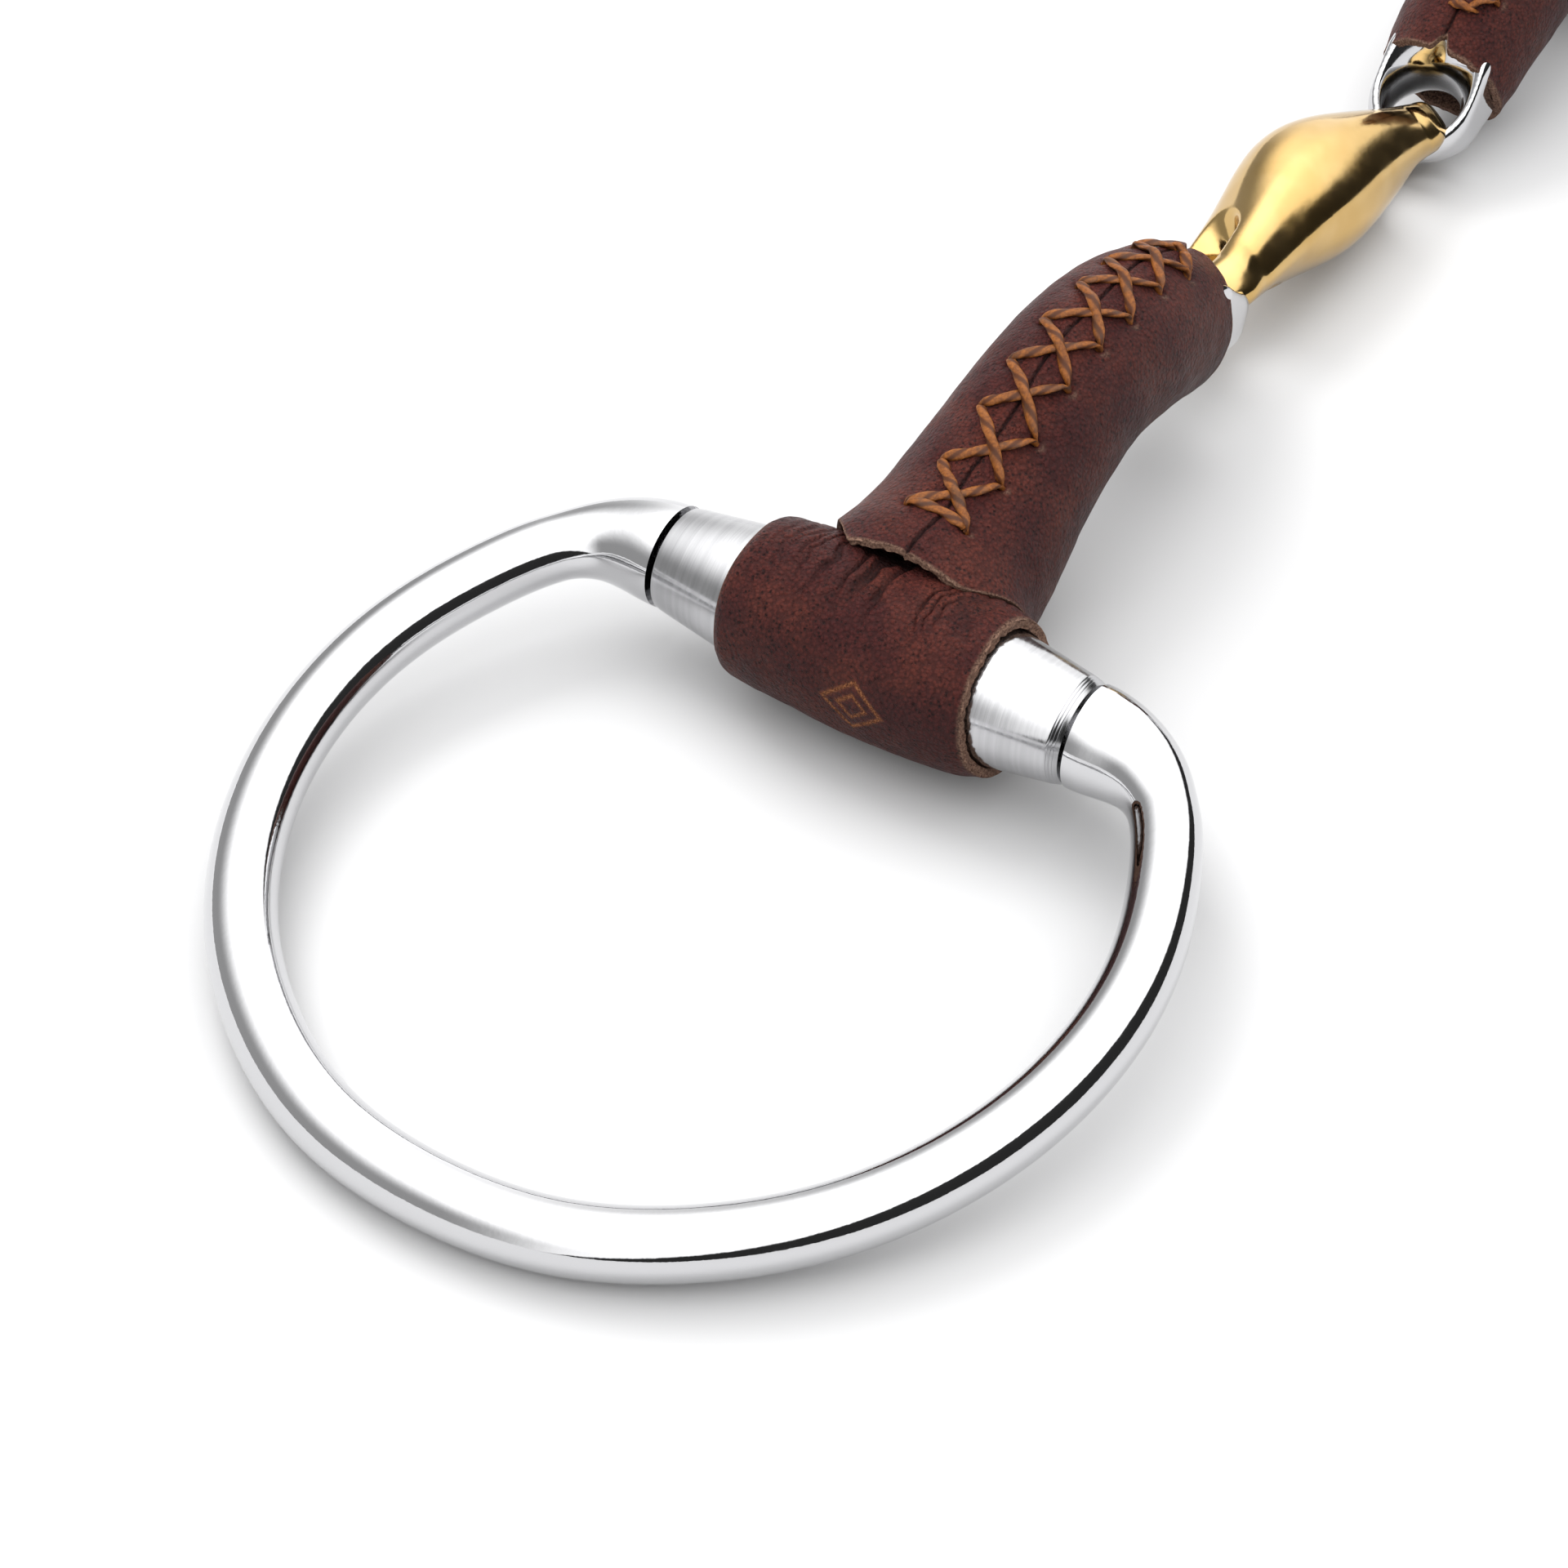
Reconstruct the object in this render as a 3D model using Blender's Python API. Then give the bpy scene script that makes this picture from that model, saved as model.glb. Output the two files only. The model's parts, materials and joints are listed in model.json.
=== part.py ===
"""Double-jointed eggbutt snaffle bit with leather-covered arms and a brass centre link.

X runs along the mouthpiece with the centre link at X = 0, Y runs along the two cheek
barrels, and Z is up.  The bit lies on the plane Z = 0.  Metres throughout.
"""
import math

import bmesh
import bpy
import numpy as np
from mathutils import Vector

MM = 0.001

# Mouthpiece layout, from the centre link outwards
HALF_SPAN = 69.0 * MM          # centre link to each barrel axis
BARREL_Z = 8.4 * MM            # height of the barrel axis above the table
LINK_SLACK = 1.2 * MM          # how far each half lies out of line, left to +Y and right to -Y
DROOP = math.radians(3.9)      # the right arm lies turned down by this angle about its barrel

# Barrel: a turned tube that the cheek ring's spigots turn in
BARREL_HALF = 18.3 * MM
BARREL_END_R = 4.3 * MM
BARREL_MID_R = 5.5 * MM
BORE_R = 1.83 * MM
BARREL_CHAMFER = 0.35 * MM
BARREL_TAPER = 8.0 * MM        # coned length at each end
BARREL_SIDES = 24

# Cheek ring
RING_BAR_R = 2.7 * MM
RING_TILT = math.radians(5.6)
RING_SHOULDER_R = 4.25 * MM
RING_SHOULDER_RUN = 10.0 * MM  # length over which the shoulder thins to the bar
SPIGOT_R = 1.75 * MM
SPIGOT_LENGTH = 9.0 * MM
SPIGOT_LEAD = 0.4 * MM         # chamfer at the spigot's tip, and how far it thins there
SPIGOT_TIP = 0.85
# centre line of one half of the ring: distance out from the barrel axis, distance along it
RING_HALF = [(0.0, 18.75), (0.2, 21.0), (1.2, 24.3), (9.0, 30.4), (18.5, 33.4), (28.2, 33.5),
             (37.6, 30.9), (45.9, 25.9), (52.5, 18.7), (56.9, 10.0), (58.3, 0.0)]
RING_SIDES = 16
RING_STEPS = 74

# Arm: arched cannon, centre line given as distance from the barrel axis and height
ARM_LINE = [(0.0, 8.4), (10.8, 9.0), (22.4, 13.0), (35.6, 13.6), (45.3, 9.9)]
PIN_U = 52.9 * MM              # link pivot, from the barrel axis, and its height on the level arm
PIN_Z = 7.1 * MM
SLEEVE_START = 1.8 * MM        # first section of the sleeve, from the barrel axis
SLEEVE_WALL = 1.25 * MM
CORE_GAP = 0.3 * MM
CORE_R = 5.3 * MM              # thickest the cannon gets under the sleeve
CORE_ROOT_U = 2.5 * MM         # where the cannon grows out of the barrel, and how thick it is there
CORE_ROOT_R = 4.2 * MM
# cannon beyond the sleeve: distance on, half width and half height
CORE_END = [(0.9, 4.6, 3.6), (1.9, 4.5, 2.2), (2.8, 4.2, 1.1)]
ARM_SIDES = 20
ARM_ROWS = 20
# sleeve half widths along Y and half heights, at distances from the barrel axis
SLEEVE_WIDTH = [(0.0, 9.3), (6.0, 8.9), (12.0, 8.2), (19.0, 7.2), (26.0, 6.8), (38.0, 6.6),
                (46.0, 6.1)]
SLEEVE_HEIGHT = [(0.0, 8.75), (6.0, 8.7), (12.0, 7.9), (19.0, 7.0), (26.0, 6.8), (38.0, 6.6),
                 (46.0, 6.1)]

# Leather wrap round the barrel
WRAP_END_A = 11.2 * MM         # end towards +Y
WRAP_END_B = -11.8 * MM        # end towards -Y
WRAP_R = 7.1 * MM
WRAP_END_R = 6.65 * MM
WRAP_BORE_R = 5.8 * MM
WRAP_EDGE = 2.6 * MM           # length over which each end draws in
WRAP_ROUND = (0.3 * MM, 0.4 * MM)
WRAP_SIDES = 28
WINDOW_U = (2.0 * MM, 14.0 * MM)  # the cannon leaves through a round window between these
WINDOW_R = 5.8 * MM
SADDLE_R = 7.4 * MM            # hollow in the sleeve's end that sits over the wrap
SADDLE_HALF = 14.0 * MM

# Eye at the arm's inner end, and its bell-mouthed hole
EYE_R = 4.2 * MM               # middle of the eye's bar from the hole's axis
EYE_BAR = 1.1 * MM
EYE_FLARE = 600.0              # how fast the hole opens out, per metre, either side of the eye's middle

# Centre link
TAB_R = 3.3 * MM
TAB_BAR = 1.0 * MM
TAB_LIFT = 0.45 * MM           # the arm's eye hangs this far below the middle of the tab's hole
TAB_THICK = 1.15 * MM
LINK_ROLL = math.radians(34.0)
LINK_RISE = 2.0 * MM           # how far the body stands over the line between the pivots
# distance from the middle, half depth in the tabs' plane, half thickness across it
LINK_BODY = [(0.0, 4.9, 6.0), (3.0, 4.75, 5.7), (6.0, 4.3, 4.8), (8.7, 3.6, 3.5), (11.2, 2.9, 2.3),
             (13.4, 2.3, 1.4)]

# Lacing over the sleeve's top seam
STITCH_START = 7.0 * MM
STITCH_PITCH = 5.05 * MM
STITCH_CELLS = 7
STITCH_HALF = 2.7 * MM
STITCH_SHIFT = -0.7 * MM       # middle of the lacing, sideways from the sleeve's top line
THREAD_R = 0.45 * MM
THREAD_LIFT = 0.35 * MM        # clearance between the thread and the sleeve


def clear_scene():
    for ob in list(bpy.data.objects):
        bpy.data.objects.remove(ob, do_unlink=True)


def material(name, colour, roughness, metallic):
    mat = bpy.data.materials.new(name)
    mat.use_nodes = True
    bsdf = mat.node_tree.nodes["Principled BSDF"]
    bsdf.inputs["Base Color"].default_value = (*colour, 1.0)
    bsdf.inputs["Roughness"].default_value = roughness
    bsdf.inputs["Metallic"].default_value = metallic
    return mat


def spline(points, count):
    """Natural cubic curve through the points, sampled evenly along its length."""
    pts = np.array(points, float)
    chord = np.linalg.norm(np.diff(pts, axis=0), axis=1)
    knots = np.concatenate([[0.0], np.cumsum(chord)])
    n = len(pts)
    mat = np.eye(n)
    rhs = np.zeros_like(pts)
    for i in range(1, n - 1):
        before, after = chord[i - 1], chord[i]
        mat[i, i - 1:i + 2] = (before, 2 * (before + after), after)
        rhs[i] = 6 * ((pts[i + 1] - pts[i]) / after - (pts[i] - pts[i - 1]) / before)
    bend = np.linalg.solve(mat, rhs)

    def at(t):
        k = np.clip(np.searchsorted(knots, t) - 1, 0, n - 2)
        h = chord[k]
        a = ((knots[k + 1] - t) / h)[:, None]
        b = ((t - knots[k]) / h)[:, None]
        curve = ((a ** 3 - a) * bend[k] + (b ** 3 - b) * bend[k + 1]) * (h ** 2 / 6)[:, None]
        return a * pts[k] + b * pts[k + 1] + curve

    fine = at(np.linspace(0.0, knots[-1], 40 * n))
    run = np.concatenate([[0.0], np.cumsum(np.linalg.norm(np.diff(fine, axis=0), axis=1))])
    want = np.linspace(0.0, run[-1], count)
    return np.stack([np.interp(want, run, fine[:, k]) for k in range(2)], axis=1)


def table(rows, x):
    keys = np.array([r[0] for r in rows]) * MM
    return float(np.interp(x, keys, np.array([r[1] for r in rows]) * MM))


def loft(loops, closed=False):
    """Closed body through rings of points; end rings are capped unless the loft closes on itself."""
    bm = bmesh.new()
    rings = [[bm.verts.new(p) for p in loop] for loop in loops]
    pairs = list(zip(rings[:-1], rings[1:]))
    if closed:
        pairs.append((rings[-1], rings[0]))
    for one, two in pairs:
        for k in range(len(one)):
            j = (k + 1) % len(one)
            bm.faces.new((one[k], one[j], two[j], two[k]))
    if not closed:
        bm.faces.new(rings[0])
        bm.faces.new(rings[-1])
    bmesh.ops.recalc_face_normals(bm, faces=bm.faces)
    return bm


def ring_loop(centre, side, up, half_side, half_up, sides, power=2.0):
    out = []
    for k in range(sides):
        a = 2 * math.pi * (k + 0.5) / sides
        c, s = math.cos(a), math.sin(a)
        x = math.copysign(abs(c) ** (2 / power), c) * half_side
        y = math.copysign(abs(s) ** (2 / power), s) * half_up
        out.append(Vector(centre) + Vector(side) * x + Vector(up) * y)
    return out


def lathe(profile, centre, sides, closed=False):
    """Turned body about a line along Y through the centre; profile rows are (radius, y)."""
    loops = []
    for radius, y in profile:
        point = (centre[0], centre[1] + y, centre[2])
        loops.append(ring_loop(point, (1, 0, 0), (0, 0, 1), radius, radius, sides))
    return loft(loops, closed)


def torus(centre, along, across, major, radial, axial, sides, section):
    """Closed eye: along and across span its plane."""
    along, across = Vector(along), Vector(across)
    axis = along.cross(across)
    loops = []
    for k in range(sides):
        a = 2 * math.pi * (k + 0.5) / sides
        out = along * math.cos(a) + across * math.sin(a)
        loops.append(ring_loop(Vector(centre) + out * major, out, axis, radial, axial, section))
    return loft(loops, closed=True)


def make(name, bm, origin, mat, smooth=35.0):
    """Object with its origin at a point, from a body drawn in world space."""
    bmesh.ops.translate(bm, verts=bm.verts, vec=-Vector(origin))
    mesh = bpy.data.meshes.new(name)
    bm.to_mesh(mesh)
    bm.free()
    ob = bpy.data.objects.new(name, mesh)
    bpy.context.collection.objects.link(ob)
    ob.location = origin
    if mat:
        mesh.materials.append(mat)
    mesh.shade_smooth()
    mesh.set_sharp_from_angle(angle=math.radians(smooth))
    return ob


def combine(ob, tools, operation, smooth=35.0):
    """Unite with, or cut by, each tool body and drop the tools."""
    for tool in tools:
        mod = ob.modifiers.new("combine", "BOOLEAN")
        mod.operation = operation
        mod.solver = "EXACT"
        mod.object = tool
    bpy.context.view_layer.update()
    graph = bpy.context.evaluated_depsgraph_get()
    mesh = bpy.data.meshes.new_from_object(ob.evaluated_get(graph))
    mats = list(ob.data.materials)
    ob.modifiers.clear()
    ob.data = mesh
    mesh.materials.clear()
    for mat in mats:
        mesh.materials.append(mat)
    bm = bmesh.new()
    bm.from_mesh(mesh)
    bmesh.ops.dissolve_degenerate(bm, dist=2e-6, edges=bm.edges)
    bmesh.ops.triangulate(bm, faces=[f for f in bm.faces if len(f.verts) > 4])
    bm.to_mesh(mesh)
    bm.free()
    mesh.shade_smooth()
    mesh.set_sharp_from_angle(angle=math.radians(smooth))
    for tool in tools:
        bpy.data.objects.remove(tool, do_unlink=True)
    return ob


class Side:
    """Left (-1) or right (+1) half: u is measured inwards from the barrel axis."""

    def __init__(self, sign):
        self.sign = sign
        self.word = "left" if sign < 0 else "right"
        self.slack = -sign * LINK_SLACK
        droop = DROOP if sign > 0 else 0.0
        self.turn = (math.cos(droop), -math.sin(droop))
        self.barrel = Vector((sign * HALF_SPAN, self.slack, BARREL_Z))
        self.pin = self.point(PIN_U, 0.0, PIN_Z)
        end, lean = arm_end()
        self.axis = self.direction(lean.x, lean.y)

    def point(self, u, y, z):
        """Place from the level arm's distance, sideways offset and height."""
        c, s = self.turn
        rise = z - BARREL_Z
        return self.barrel + Vector((-self.sign * (c * u - s * rise), y, s * u + c * rise))

    def direction(self, u, z):
        c, s = self.turn
        return Vector((-self.sign * (c * u - s * z), 0.0, s * u + c * z)).normalized()


def arm_end():
    """Sleeve end in (u, z) and the straight line from it to the link pivot."""
    end = Vector((ARM_LINE[-1][0] * MM, ARM_LINE[-1][1] * MM))
    pin = Vector((PIN_U, PIN_Z))
    return end, (pin - end).normalized()


def arm_sections(count):
    """Rows of (u, z, tangent u, tangent z) along the arm's centre line."""
    line = spline(ARM_LINE, 400) * MM
    slope = np.gradient(line, axis=0)
    slope /= np.linalg.norm(slope, axis=1)[:, None]
    start = int(np.searchsorted(line[:, 0], SLEEVE_START))
    pick = np.linspace(start, len(line) - 1, count).round().astype(int)
    return [(*line[i], *slope[i]) for i in pick]


def arm_loops(side, count, sides, inset, stretch=0.0):
    """Section rings of the sleeve's outer surface, moved inwards by inset."""
    loops = []
    rows = arm_sections(count)
    for k, (u, z, tu, tz) in enumerate(rows):
        shift = 0.0
        if k == 0:
            # the first ring is upright
            shift, tu, tz = -stretch, 1.0, 0.0
        if k == len(rows) - 1:
            shift = stretch
        centre = side.point(u + shift * tu, 0.0, z + shift * tz)
        up = side.direction(-tz, tu)
        wide = table(SLEEVE_WIDTH, u) - inset
        high = table(SLEEVE_HEIGHT, u) - inset
        loops.append(ring_loop(centre, (0, 1, 0), up, wide, high, sides))
    return loops


def cheek_ring(side, mat):
    """Bar bent to a rounded D, its ends thickened to shoulders with a spigot each."""
    half = np.array(RING_HALF) * MM
    whole = np.concatenate([half, half[-2::-1] * [1.0, -1.0]])
    line = spline(whole / MM, RING_STEPS) * MM
    slope = np.gradient(line, axis=0)
    slope /= np.linalg.norm(slope, axis=1)[:, None]
    slope[0], slope[-1] = (0.0, 1.0), (0.0, 1.0)
    run = np.concatenate([[0.0], np.cumsum(np.linalg.norm(np.diff(line, axis=0), axis=1))])
    loops = []

    def section(out, along, du, dv, radius):
        # the section lies in the plane across the bar: in-plane direction and the ring's normal
        tilt_x, tilt_z = math.cos(RING_TILT), -math.sin(RING_TILT)
        centre = side.barrel + Vector((side.sign * out * tilt_x, along, out * tilt_z))
        inward = Vector((side.sign * dv * tilt_x, -du, dv * tilt_z))
        normal = Vector((side.sign * math.sin(RING_TILT), 0.0, math.cos(RING_TILT)))
        loops.append(ring_loop(centre, inward, normal, radius, radius, RING_SIDES))

    face = float(line[0][1])
    section(0.0, face - SPIGOT_LENGTH, 0.0, 1.0, SPIGOT_R * SPIGOT_TIP)
    section(0.0, face - SPIGOT_LENGTH + SPIGOT_LEAD, 0.0, 1.0, SPIGOT_R)
    section(0.0, face, 0.0, 1.0, SPIGOT_R)
    for (out, along), (du, dv), r in zip(line, slope, run):
        near = min(r, run[-1] - r) / RING_SHOULDER_RUN
        blend = 1.0 if near > 1.0 else near * near * (3.0 - 2.0 * near)
        section(out, along, du, dv, RING_SHOULDER_R + (RING_BAR_R - RING_SHOULDER_R) * blend)
    section(0.0, -face, 0.0, 1.0, SPIGOT_R)
    section(0.0, -face + SPIGOT_LENGTH - SPIGOT_LEAD, 0.0, 1.0, SPIGOT_R)
    section(0.0, -face + SPIGOT_LENGTH, 0.0, 1.0, SPIGOT_R * SPIGOT_TIP)
    return make("cheek_ring_" + side.word, loft(loops), side.barrel, mat)


def barrel_tube(side):
    """Turned tube, swollen in the middle, open from end to end."""
    rim = BARREL_HALF
    outer = [(BARREL_END_R - BARREL_CHAMFER, rim), (BARREL_END_R, rim - BARREL_CHAMFER),
             (BARREL_MID_R, rim - BARREL_TAPER), (BARREL_MID_R, 0.0), (BARREL_MID_R, BARREL_TAPER - rim),
             (BARREL_END_R, BARREL_CHAMFER - rim), (BARREL_END_R - BARREL_CHAMFER, -rim)]
    inner = [(BORE_R, -rim), (BORE_R, rim)]
    return lathe(outer + inner, side.barrel, BARREL_SIDES, closed=True)


def arm_core(side):
    """Cannon inside the sleeve, thinned to the flat of the eye at its inner end."""
    inset = SLEEVE_WALL + CORE_GAP
    root = side.point(CORE_ROOT_U, 0.0, BARREL_Z)
    loops = [ring_loop(root, (0, 1, 0), (0, 0, 1), CORE_ROOT_R, CORE_ROOT_R, ARM_SIDES)]
    for u, z, tu, tz in arm_sections(13)[2:]:
        centre = side.point(u, 0.0, z)
        wide = min(table(SLEEVE_WIDTH, u) - inset, CORE_R)
        high = min(table(SLEEVE_HEIGHT, u) - inset, CORE_R)
        up = side.direction(-tz, tu)
        loops.append(ring_loop(centre, (0, 1, 0), up, wide, high, ARM_SIDES))
    end, lean = arm_end()
    for reach, wide, high in CORE_END:
        spot = end + lean * reach * MM
        up = side.direction(-lean.y, lean.x)
        centre = side.point(spot.x, 0.0, spot.y)
        loops.append(ring_loop(centre, (0, 1, 0), up, wide * MM, high * MM, ARM_SIDES))
    return loft(loops)


def eye_hole(side, centre):
    """Bell-mouthed cutter across the eye."""
    across = side.direction(-arm_end()[1].y, arm_end()[1].x)
    loops = []
    for k in range(-6, 7):
        height = k * 0.9 * MM
        radius = EYE_R - EYE_BAR + 0.05 * MM + EYE_FLARE * height * height
        loops.append(ring_loop(centre + across * height, (0, 1, 0), side.axis, radius, radius, 24))
    return loft(loops)


def mouthpiece_arm(side, mat):
    """One casting: barrel tube, arched cannon and inner eye."""
    centre = side.pin - side.axis * EYE_R
    arm = make("mouthpiece_arm_" + side.word, arm_core(side), side.pin, mat)
    hole = make("hole", eye_hole(side, centre), side.pin, None)
    combine(arm, [hole], "DIFFERENCE")
    loop = torus(centre, side.axis, (0, 1, 0), EYE_R, EYE_BAR, EYE_BAR, 28, 12)
    eye = make("eye", loop, side.pin, None)
    tube = make("tube", barrel_tube(side), side.pin, None)
    return combine(arm, [eye, tube], "UNION")


def barrel_wrap(side, mat):
    """Leather tube round the barrel with a window where the cannon leaves it."""
    a, b = WRAP_END_A, WRAP_END_B
    down, back = WRAP_ROUND
    outer = [(WRAP_END_R - down, a), (WRAP_END_R, a - back), (WRAP_R, a - WRAP_EDGE), (WRAP_R, 0.0),
             (WRAP_R, b + WRAP_EDGE), (WRAP_END_R, b + back), (WRAP_END_R - down, b)]
    inner = [(WRAP_BORE_R, b), (WRAP_BORE_R, a)]
    tube = lathe(outer + inner, side.barrel, WRAP_SIDES, closed=True)
    wrap = make("barrel_wrap_" + side.word, tube, side.pin, mat)
    loops = []
    for u in WINDOW_U:
        spot = side.point(u, 0.0, BARREL_Z)
        loops.append(ring_loop(spot, (0, 1, 0), (0, 0, 1), WINDOW_R, WINDOW_R, ARM_SIDES))
    window = make("window", loft(loops), side.pin, None)
    return combine(wrap, [window], "DIFFERENCE")


def arm_sleeve(side, mat):
    """Leather sleeve over the cannon, its flared end saddled over the barrel wrap."""
    outside = loft(arm_loops(side, ARM_ROWS, ARM_SIDES, 0.0))
    inside = loft(arm_loops(side, ARM_ROWS, ARM_SIDES, SLEEVE_WALL, 1.0 * MM))
    sleeve = make("arm_sleeve_" + side.word, outside, side.pin, mat)
    bore = make("bore", inside, side.pin, None)
    hollow = lathe([(SADDLE_R, -SADDLE_HALF), (SADDLE_R, SADDLE_HALF)], side.barrel, WRAP_SIDES)
    saddle = make("saddle", hollow, side.pin, None)
    box = bmesh.new()
    bmesh.ops.create_cube(box, size=1.0)
    bmesh.ops.scale(box, vec=(40.0 * MM, 40.0 * MM, 10.0 * MM), verts=box.verts)
    place = (side.sign * (HALF_SPAN - 5.0 * MM), side.slack, -5.0 * MM)
    bmesh.ops.translate(box, vec=place, verts=box.verts)
    table_top = make("table_top", box, side.pin, None)
    return combine(sleeve, [bore, saddle, table_top], "DIFFERENCE")


def sleeve_top(side, u, y, lift):
    """Point over the sleeve's top at a distance from the barrel axis and a sideways offset."""
    rows = arm_sections(120)
    us = [r[0] for r in rows]
    z = float(np.interp(u, us, [r[1] for r in rows]))
    tu = float(np.interp(u, us, [r[2] for r in rows]))
    tz = float(np.interp(u, us, [r[3] for r in rows]))
    up = side.direction(-tz, tu)
    wide, high = table(SLEEVE_WIDTH, u) + lift, table(SLEEVE_HEIGHT, u) + lift
    rise = high * math.sqrt(max(0.0, 1.0 - (y / wide) ** 2))
    return side.point(u, y, z) + up * rise


def thread(points, radius, sides=6):
    loops = []
    for k, p in enumerate(points):
        ahead = points[min(k + 1, len(points) - 1)] - points[max(k - 1, 0)]
        side = ahead.cross(Vector((0, 0, 1))).normalized()
        loops.append(ring_loop(p, side, side.cross(ahead).normalized(), radius, radius, sides))
    return loft(loops)


def sleeve_lacing(side, mat):
    """Waxed thread crossed from side to side over the seam, its strands fused where they cross."""
    lift = THREAD_R + THREAD_LIFT
    strands = []
    for first in (1.0, -1.0):
        points = []
        for cell in range(STITCH_CELLS):
            start = first * (1.0 if cell % 2 == 0 else -1.0)
            for step in range(4):
                y = STITCH_SHIFT + start * STITCH_HALF * (1.0 - step / 2.0)
                u = STITCH_START + (cell + step / 4.0) * STITCH_PITCH
                points.append(sleeve_top(side, u, y, lift))
        last = first * (1.0 if STITCH_CELLS % 2 == 0 else -1.0)
        end = STITCH_START + STITCH_CELLS * STITCH_PITCH
        points.append(sleeve_top(side, end, STITCH_SHIFT + last * STITCH_HALF, lift))
        strands.append(thread(points, THREAD_R))
    one = make("sleeve_lacing_" + side.word, strands[0], side.pin, mat)
    two = make("strand", strands[1], side.pin, None)
    return combine(one, [two], "UNION")


def lozenge(mat):
    """Centre link: rounded almond body between two eyes, rolled about the mouthpiece."""
    left, right = Side(-1).pin, Side(1).pin
    middle = (left + right) / 2.0
    along = (right - left).normalized()
    level = Vector((0.0, 0.0, 1.0)).cross(along).normalized()
    plumb = along.cross(level)
    depth = plumb * math.cos(LINK_ROLL) - level * math.sin(LINK_ROLL)
    thick = plumb * math.sin(LINK_ROLL) + level * math.cos(LINK_ROLL)
    reach = (right - middle).length
    rows = [(-x, d, t) for x, d, t in LINK_BODY[:0:-1]] + LINK_BODY
    loops = []
    for x, d, t in rows:
        rise = LINK_RISE * (1.0 - (x * MM / reach) ** 2)
        centre = middle + along * x * MM + plumb * rise
        loops.append(ring_loop(centre, thick, depth, t * MM, d * MM, 20, 2.3))
    link = make("lozenge", loft(loops), middle, mat)
    eyes = []
    for sign in (-1, 1):
        spot = Side(sign).pin + depth * TAB_LIFT
        loop = torus(spot, along, depth, TAB_R, TAB_BAR, TAB_THICK, 26, 10)
        eyes.append(make("eye", loop, spot, None))
    return combine(link, eyes, "UNION")


def build():
    clear_scene()
    steel = material("polished_steel", (0.62, 0.62, 0.63), 0.07, 1.0)
    brass = material("polished_brass", (0.80, 0.54, 0.22), 0.12, 1.0)
    leather = material("brown_leather", (0.105, 0.028, 0.020), 0.45, 0.0)
    waxed = material("waxed_thread", (0.42, 0.17, 0.04), 0.55, 0.0)
    for sign in (-1, 1):
        side = Side(sign)
        cheek_ring(side, steel)
        mouthpiece_arm(side, steel)
        barrel_wrap(side, leather)
        arm_sleeve(side, leather)
        sleeve_lacing(side, waxed)
    lozenge(brass)


build()
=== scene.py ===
"""Looks of the leather-covered eggbutt snaffle bit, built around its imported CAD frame.

Everything is in metres in the frame's own axes: X along the mouthpiece, Y along the cheek
barrels, Z up from the table.  Each half is drawn once, in its arm's own terms (u inwards from
the barrel axis, y along the barrel, z up), and placed left and right.
"""

import json
import math

import bpy
import numpy as np
from mathutils import Matrix, Vector


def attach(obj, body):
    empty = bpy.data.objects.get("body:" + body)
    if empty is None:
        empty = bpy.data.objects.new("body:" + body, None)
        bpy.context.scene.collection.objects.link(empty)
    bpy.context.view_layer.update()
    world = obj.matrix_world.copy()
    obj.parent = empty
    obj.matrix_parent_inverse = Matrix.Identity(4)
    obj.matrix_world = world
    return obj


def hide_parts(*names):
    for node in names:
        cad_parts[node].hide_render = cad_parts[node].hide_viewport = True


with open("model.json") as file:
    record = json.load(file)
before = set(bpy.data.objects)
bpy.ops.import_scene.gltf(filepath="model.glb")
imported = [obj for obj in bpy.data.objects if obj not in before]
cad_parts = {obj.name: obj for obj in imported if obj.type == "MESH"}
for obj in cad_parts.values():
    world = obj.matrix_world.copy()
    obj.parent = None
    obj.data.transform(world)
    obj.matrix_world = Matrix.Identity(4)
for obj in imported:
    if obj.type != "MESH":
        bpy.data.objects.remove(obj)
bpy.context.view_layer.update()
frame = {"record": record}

MM = 0.001
JOINTS = {j["name"]: j for j in frame["record"]["behaviour"]["joints"]}

# Driving sizes, the same as the CAD part's, in millimetres
BARREL_Z = 8.4
PIN_U, PIN_Z = 52.9, 7.1
BARREL_HALF, BARREL_END_R, BARREL_MID_R, BORE_R = 18.3, 4.3, 5.5, 1.83
BARREL_TAPER = 8.0
RING_BAR_R, RING_SHOULDER_R, RING_SHOULDER_RUN = 2.7, 4.25, 10.0
RING_TILT = math.radians(5.6)
SPIGOT_R, SPIGOT_LENGTH = 1.75, 9.0
RING_HALF = [(0.0, 18.75), (0.2, 21.0), (1.2, 24.3), (9.0, 30.4), (18.5, 33.4), (28.2, 33.5),
             (37.6, 30.9), (45.9, 25.9), (52.5, 18.7), (56.9, 10.0), (58.3, 0.0)]
ARM_LINE = [(0.0, 8.4), (10.8, 9.0), (22.4, 13.0), (35.6, 13.6), (45.3, 9.9)]
SLEEVE_WIDTH = [(0.0, 9.3), (6.0, 8.9), (12.0, 8.2), (19.0, 7.2), (26.0, 6.8), (38.0, 6.6),
                (46.0, 6.1)]
SLEEVE_HEIGHT = [(0.0, 8.75), (6.0, 8.7), (12.0, 8.1), (19.0, 7.5), (26.0, 7.4), (38.0, 7.3),
                 (46.0, 6.8)]
LEATHER = 1.25
SADDLE_R = 7.9                 # the sleeve's flared end starts this far from the barrel's axis
WRAP_R, WRAP_BORE_R, WRAP_END_A, WRAP_END_B = 7.1, 5.6, 11.2, -11.8
WRAP_LIP_R, WRAP_SWELL = 6.38, 0.82
EYE_R, EYE_BAR = 4.2, 1.1
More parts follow.
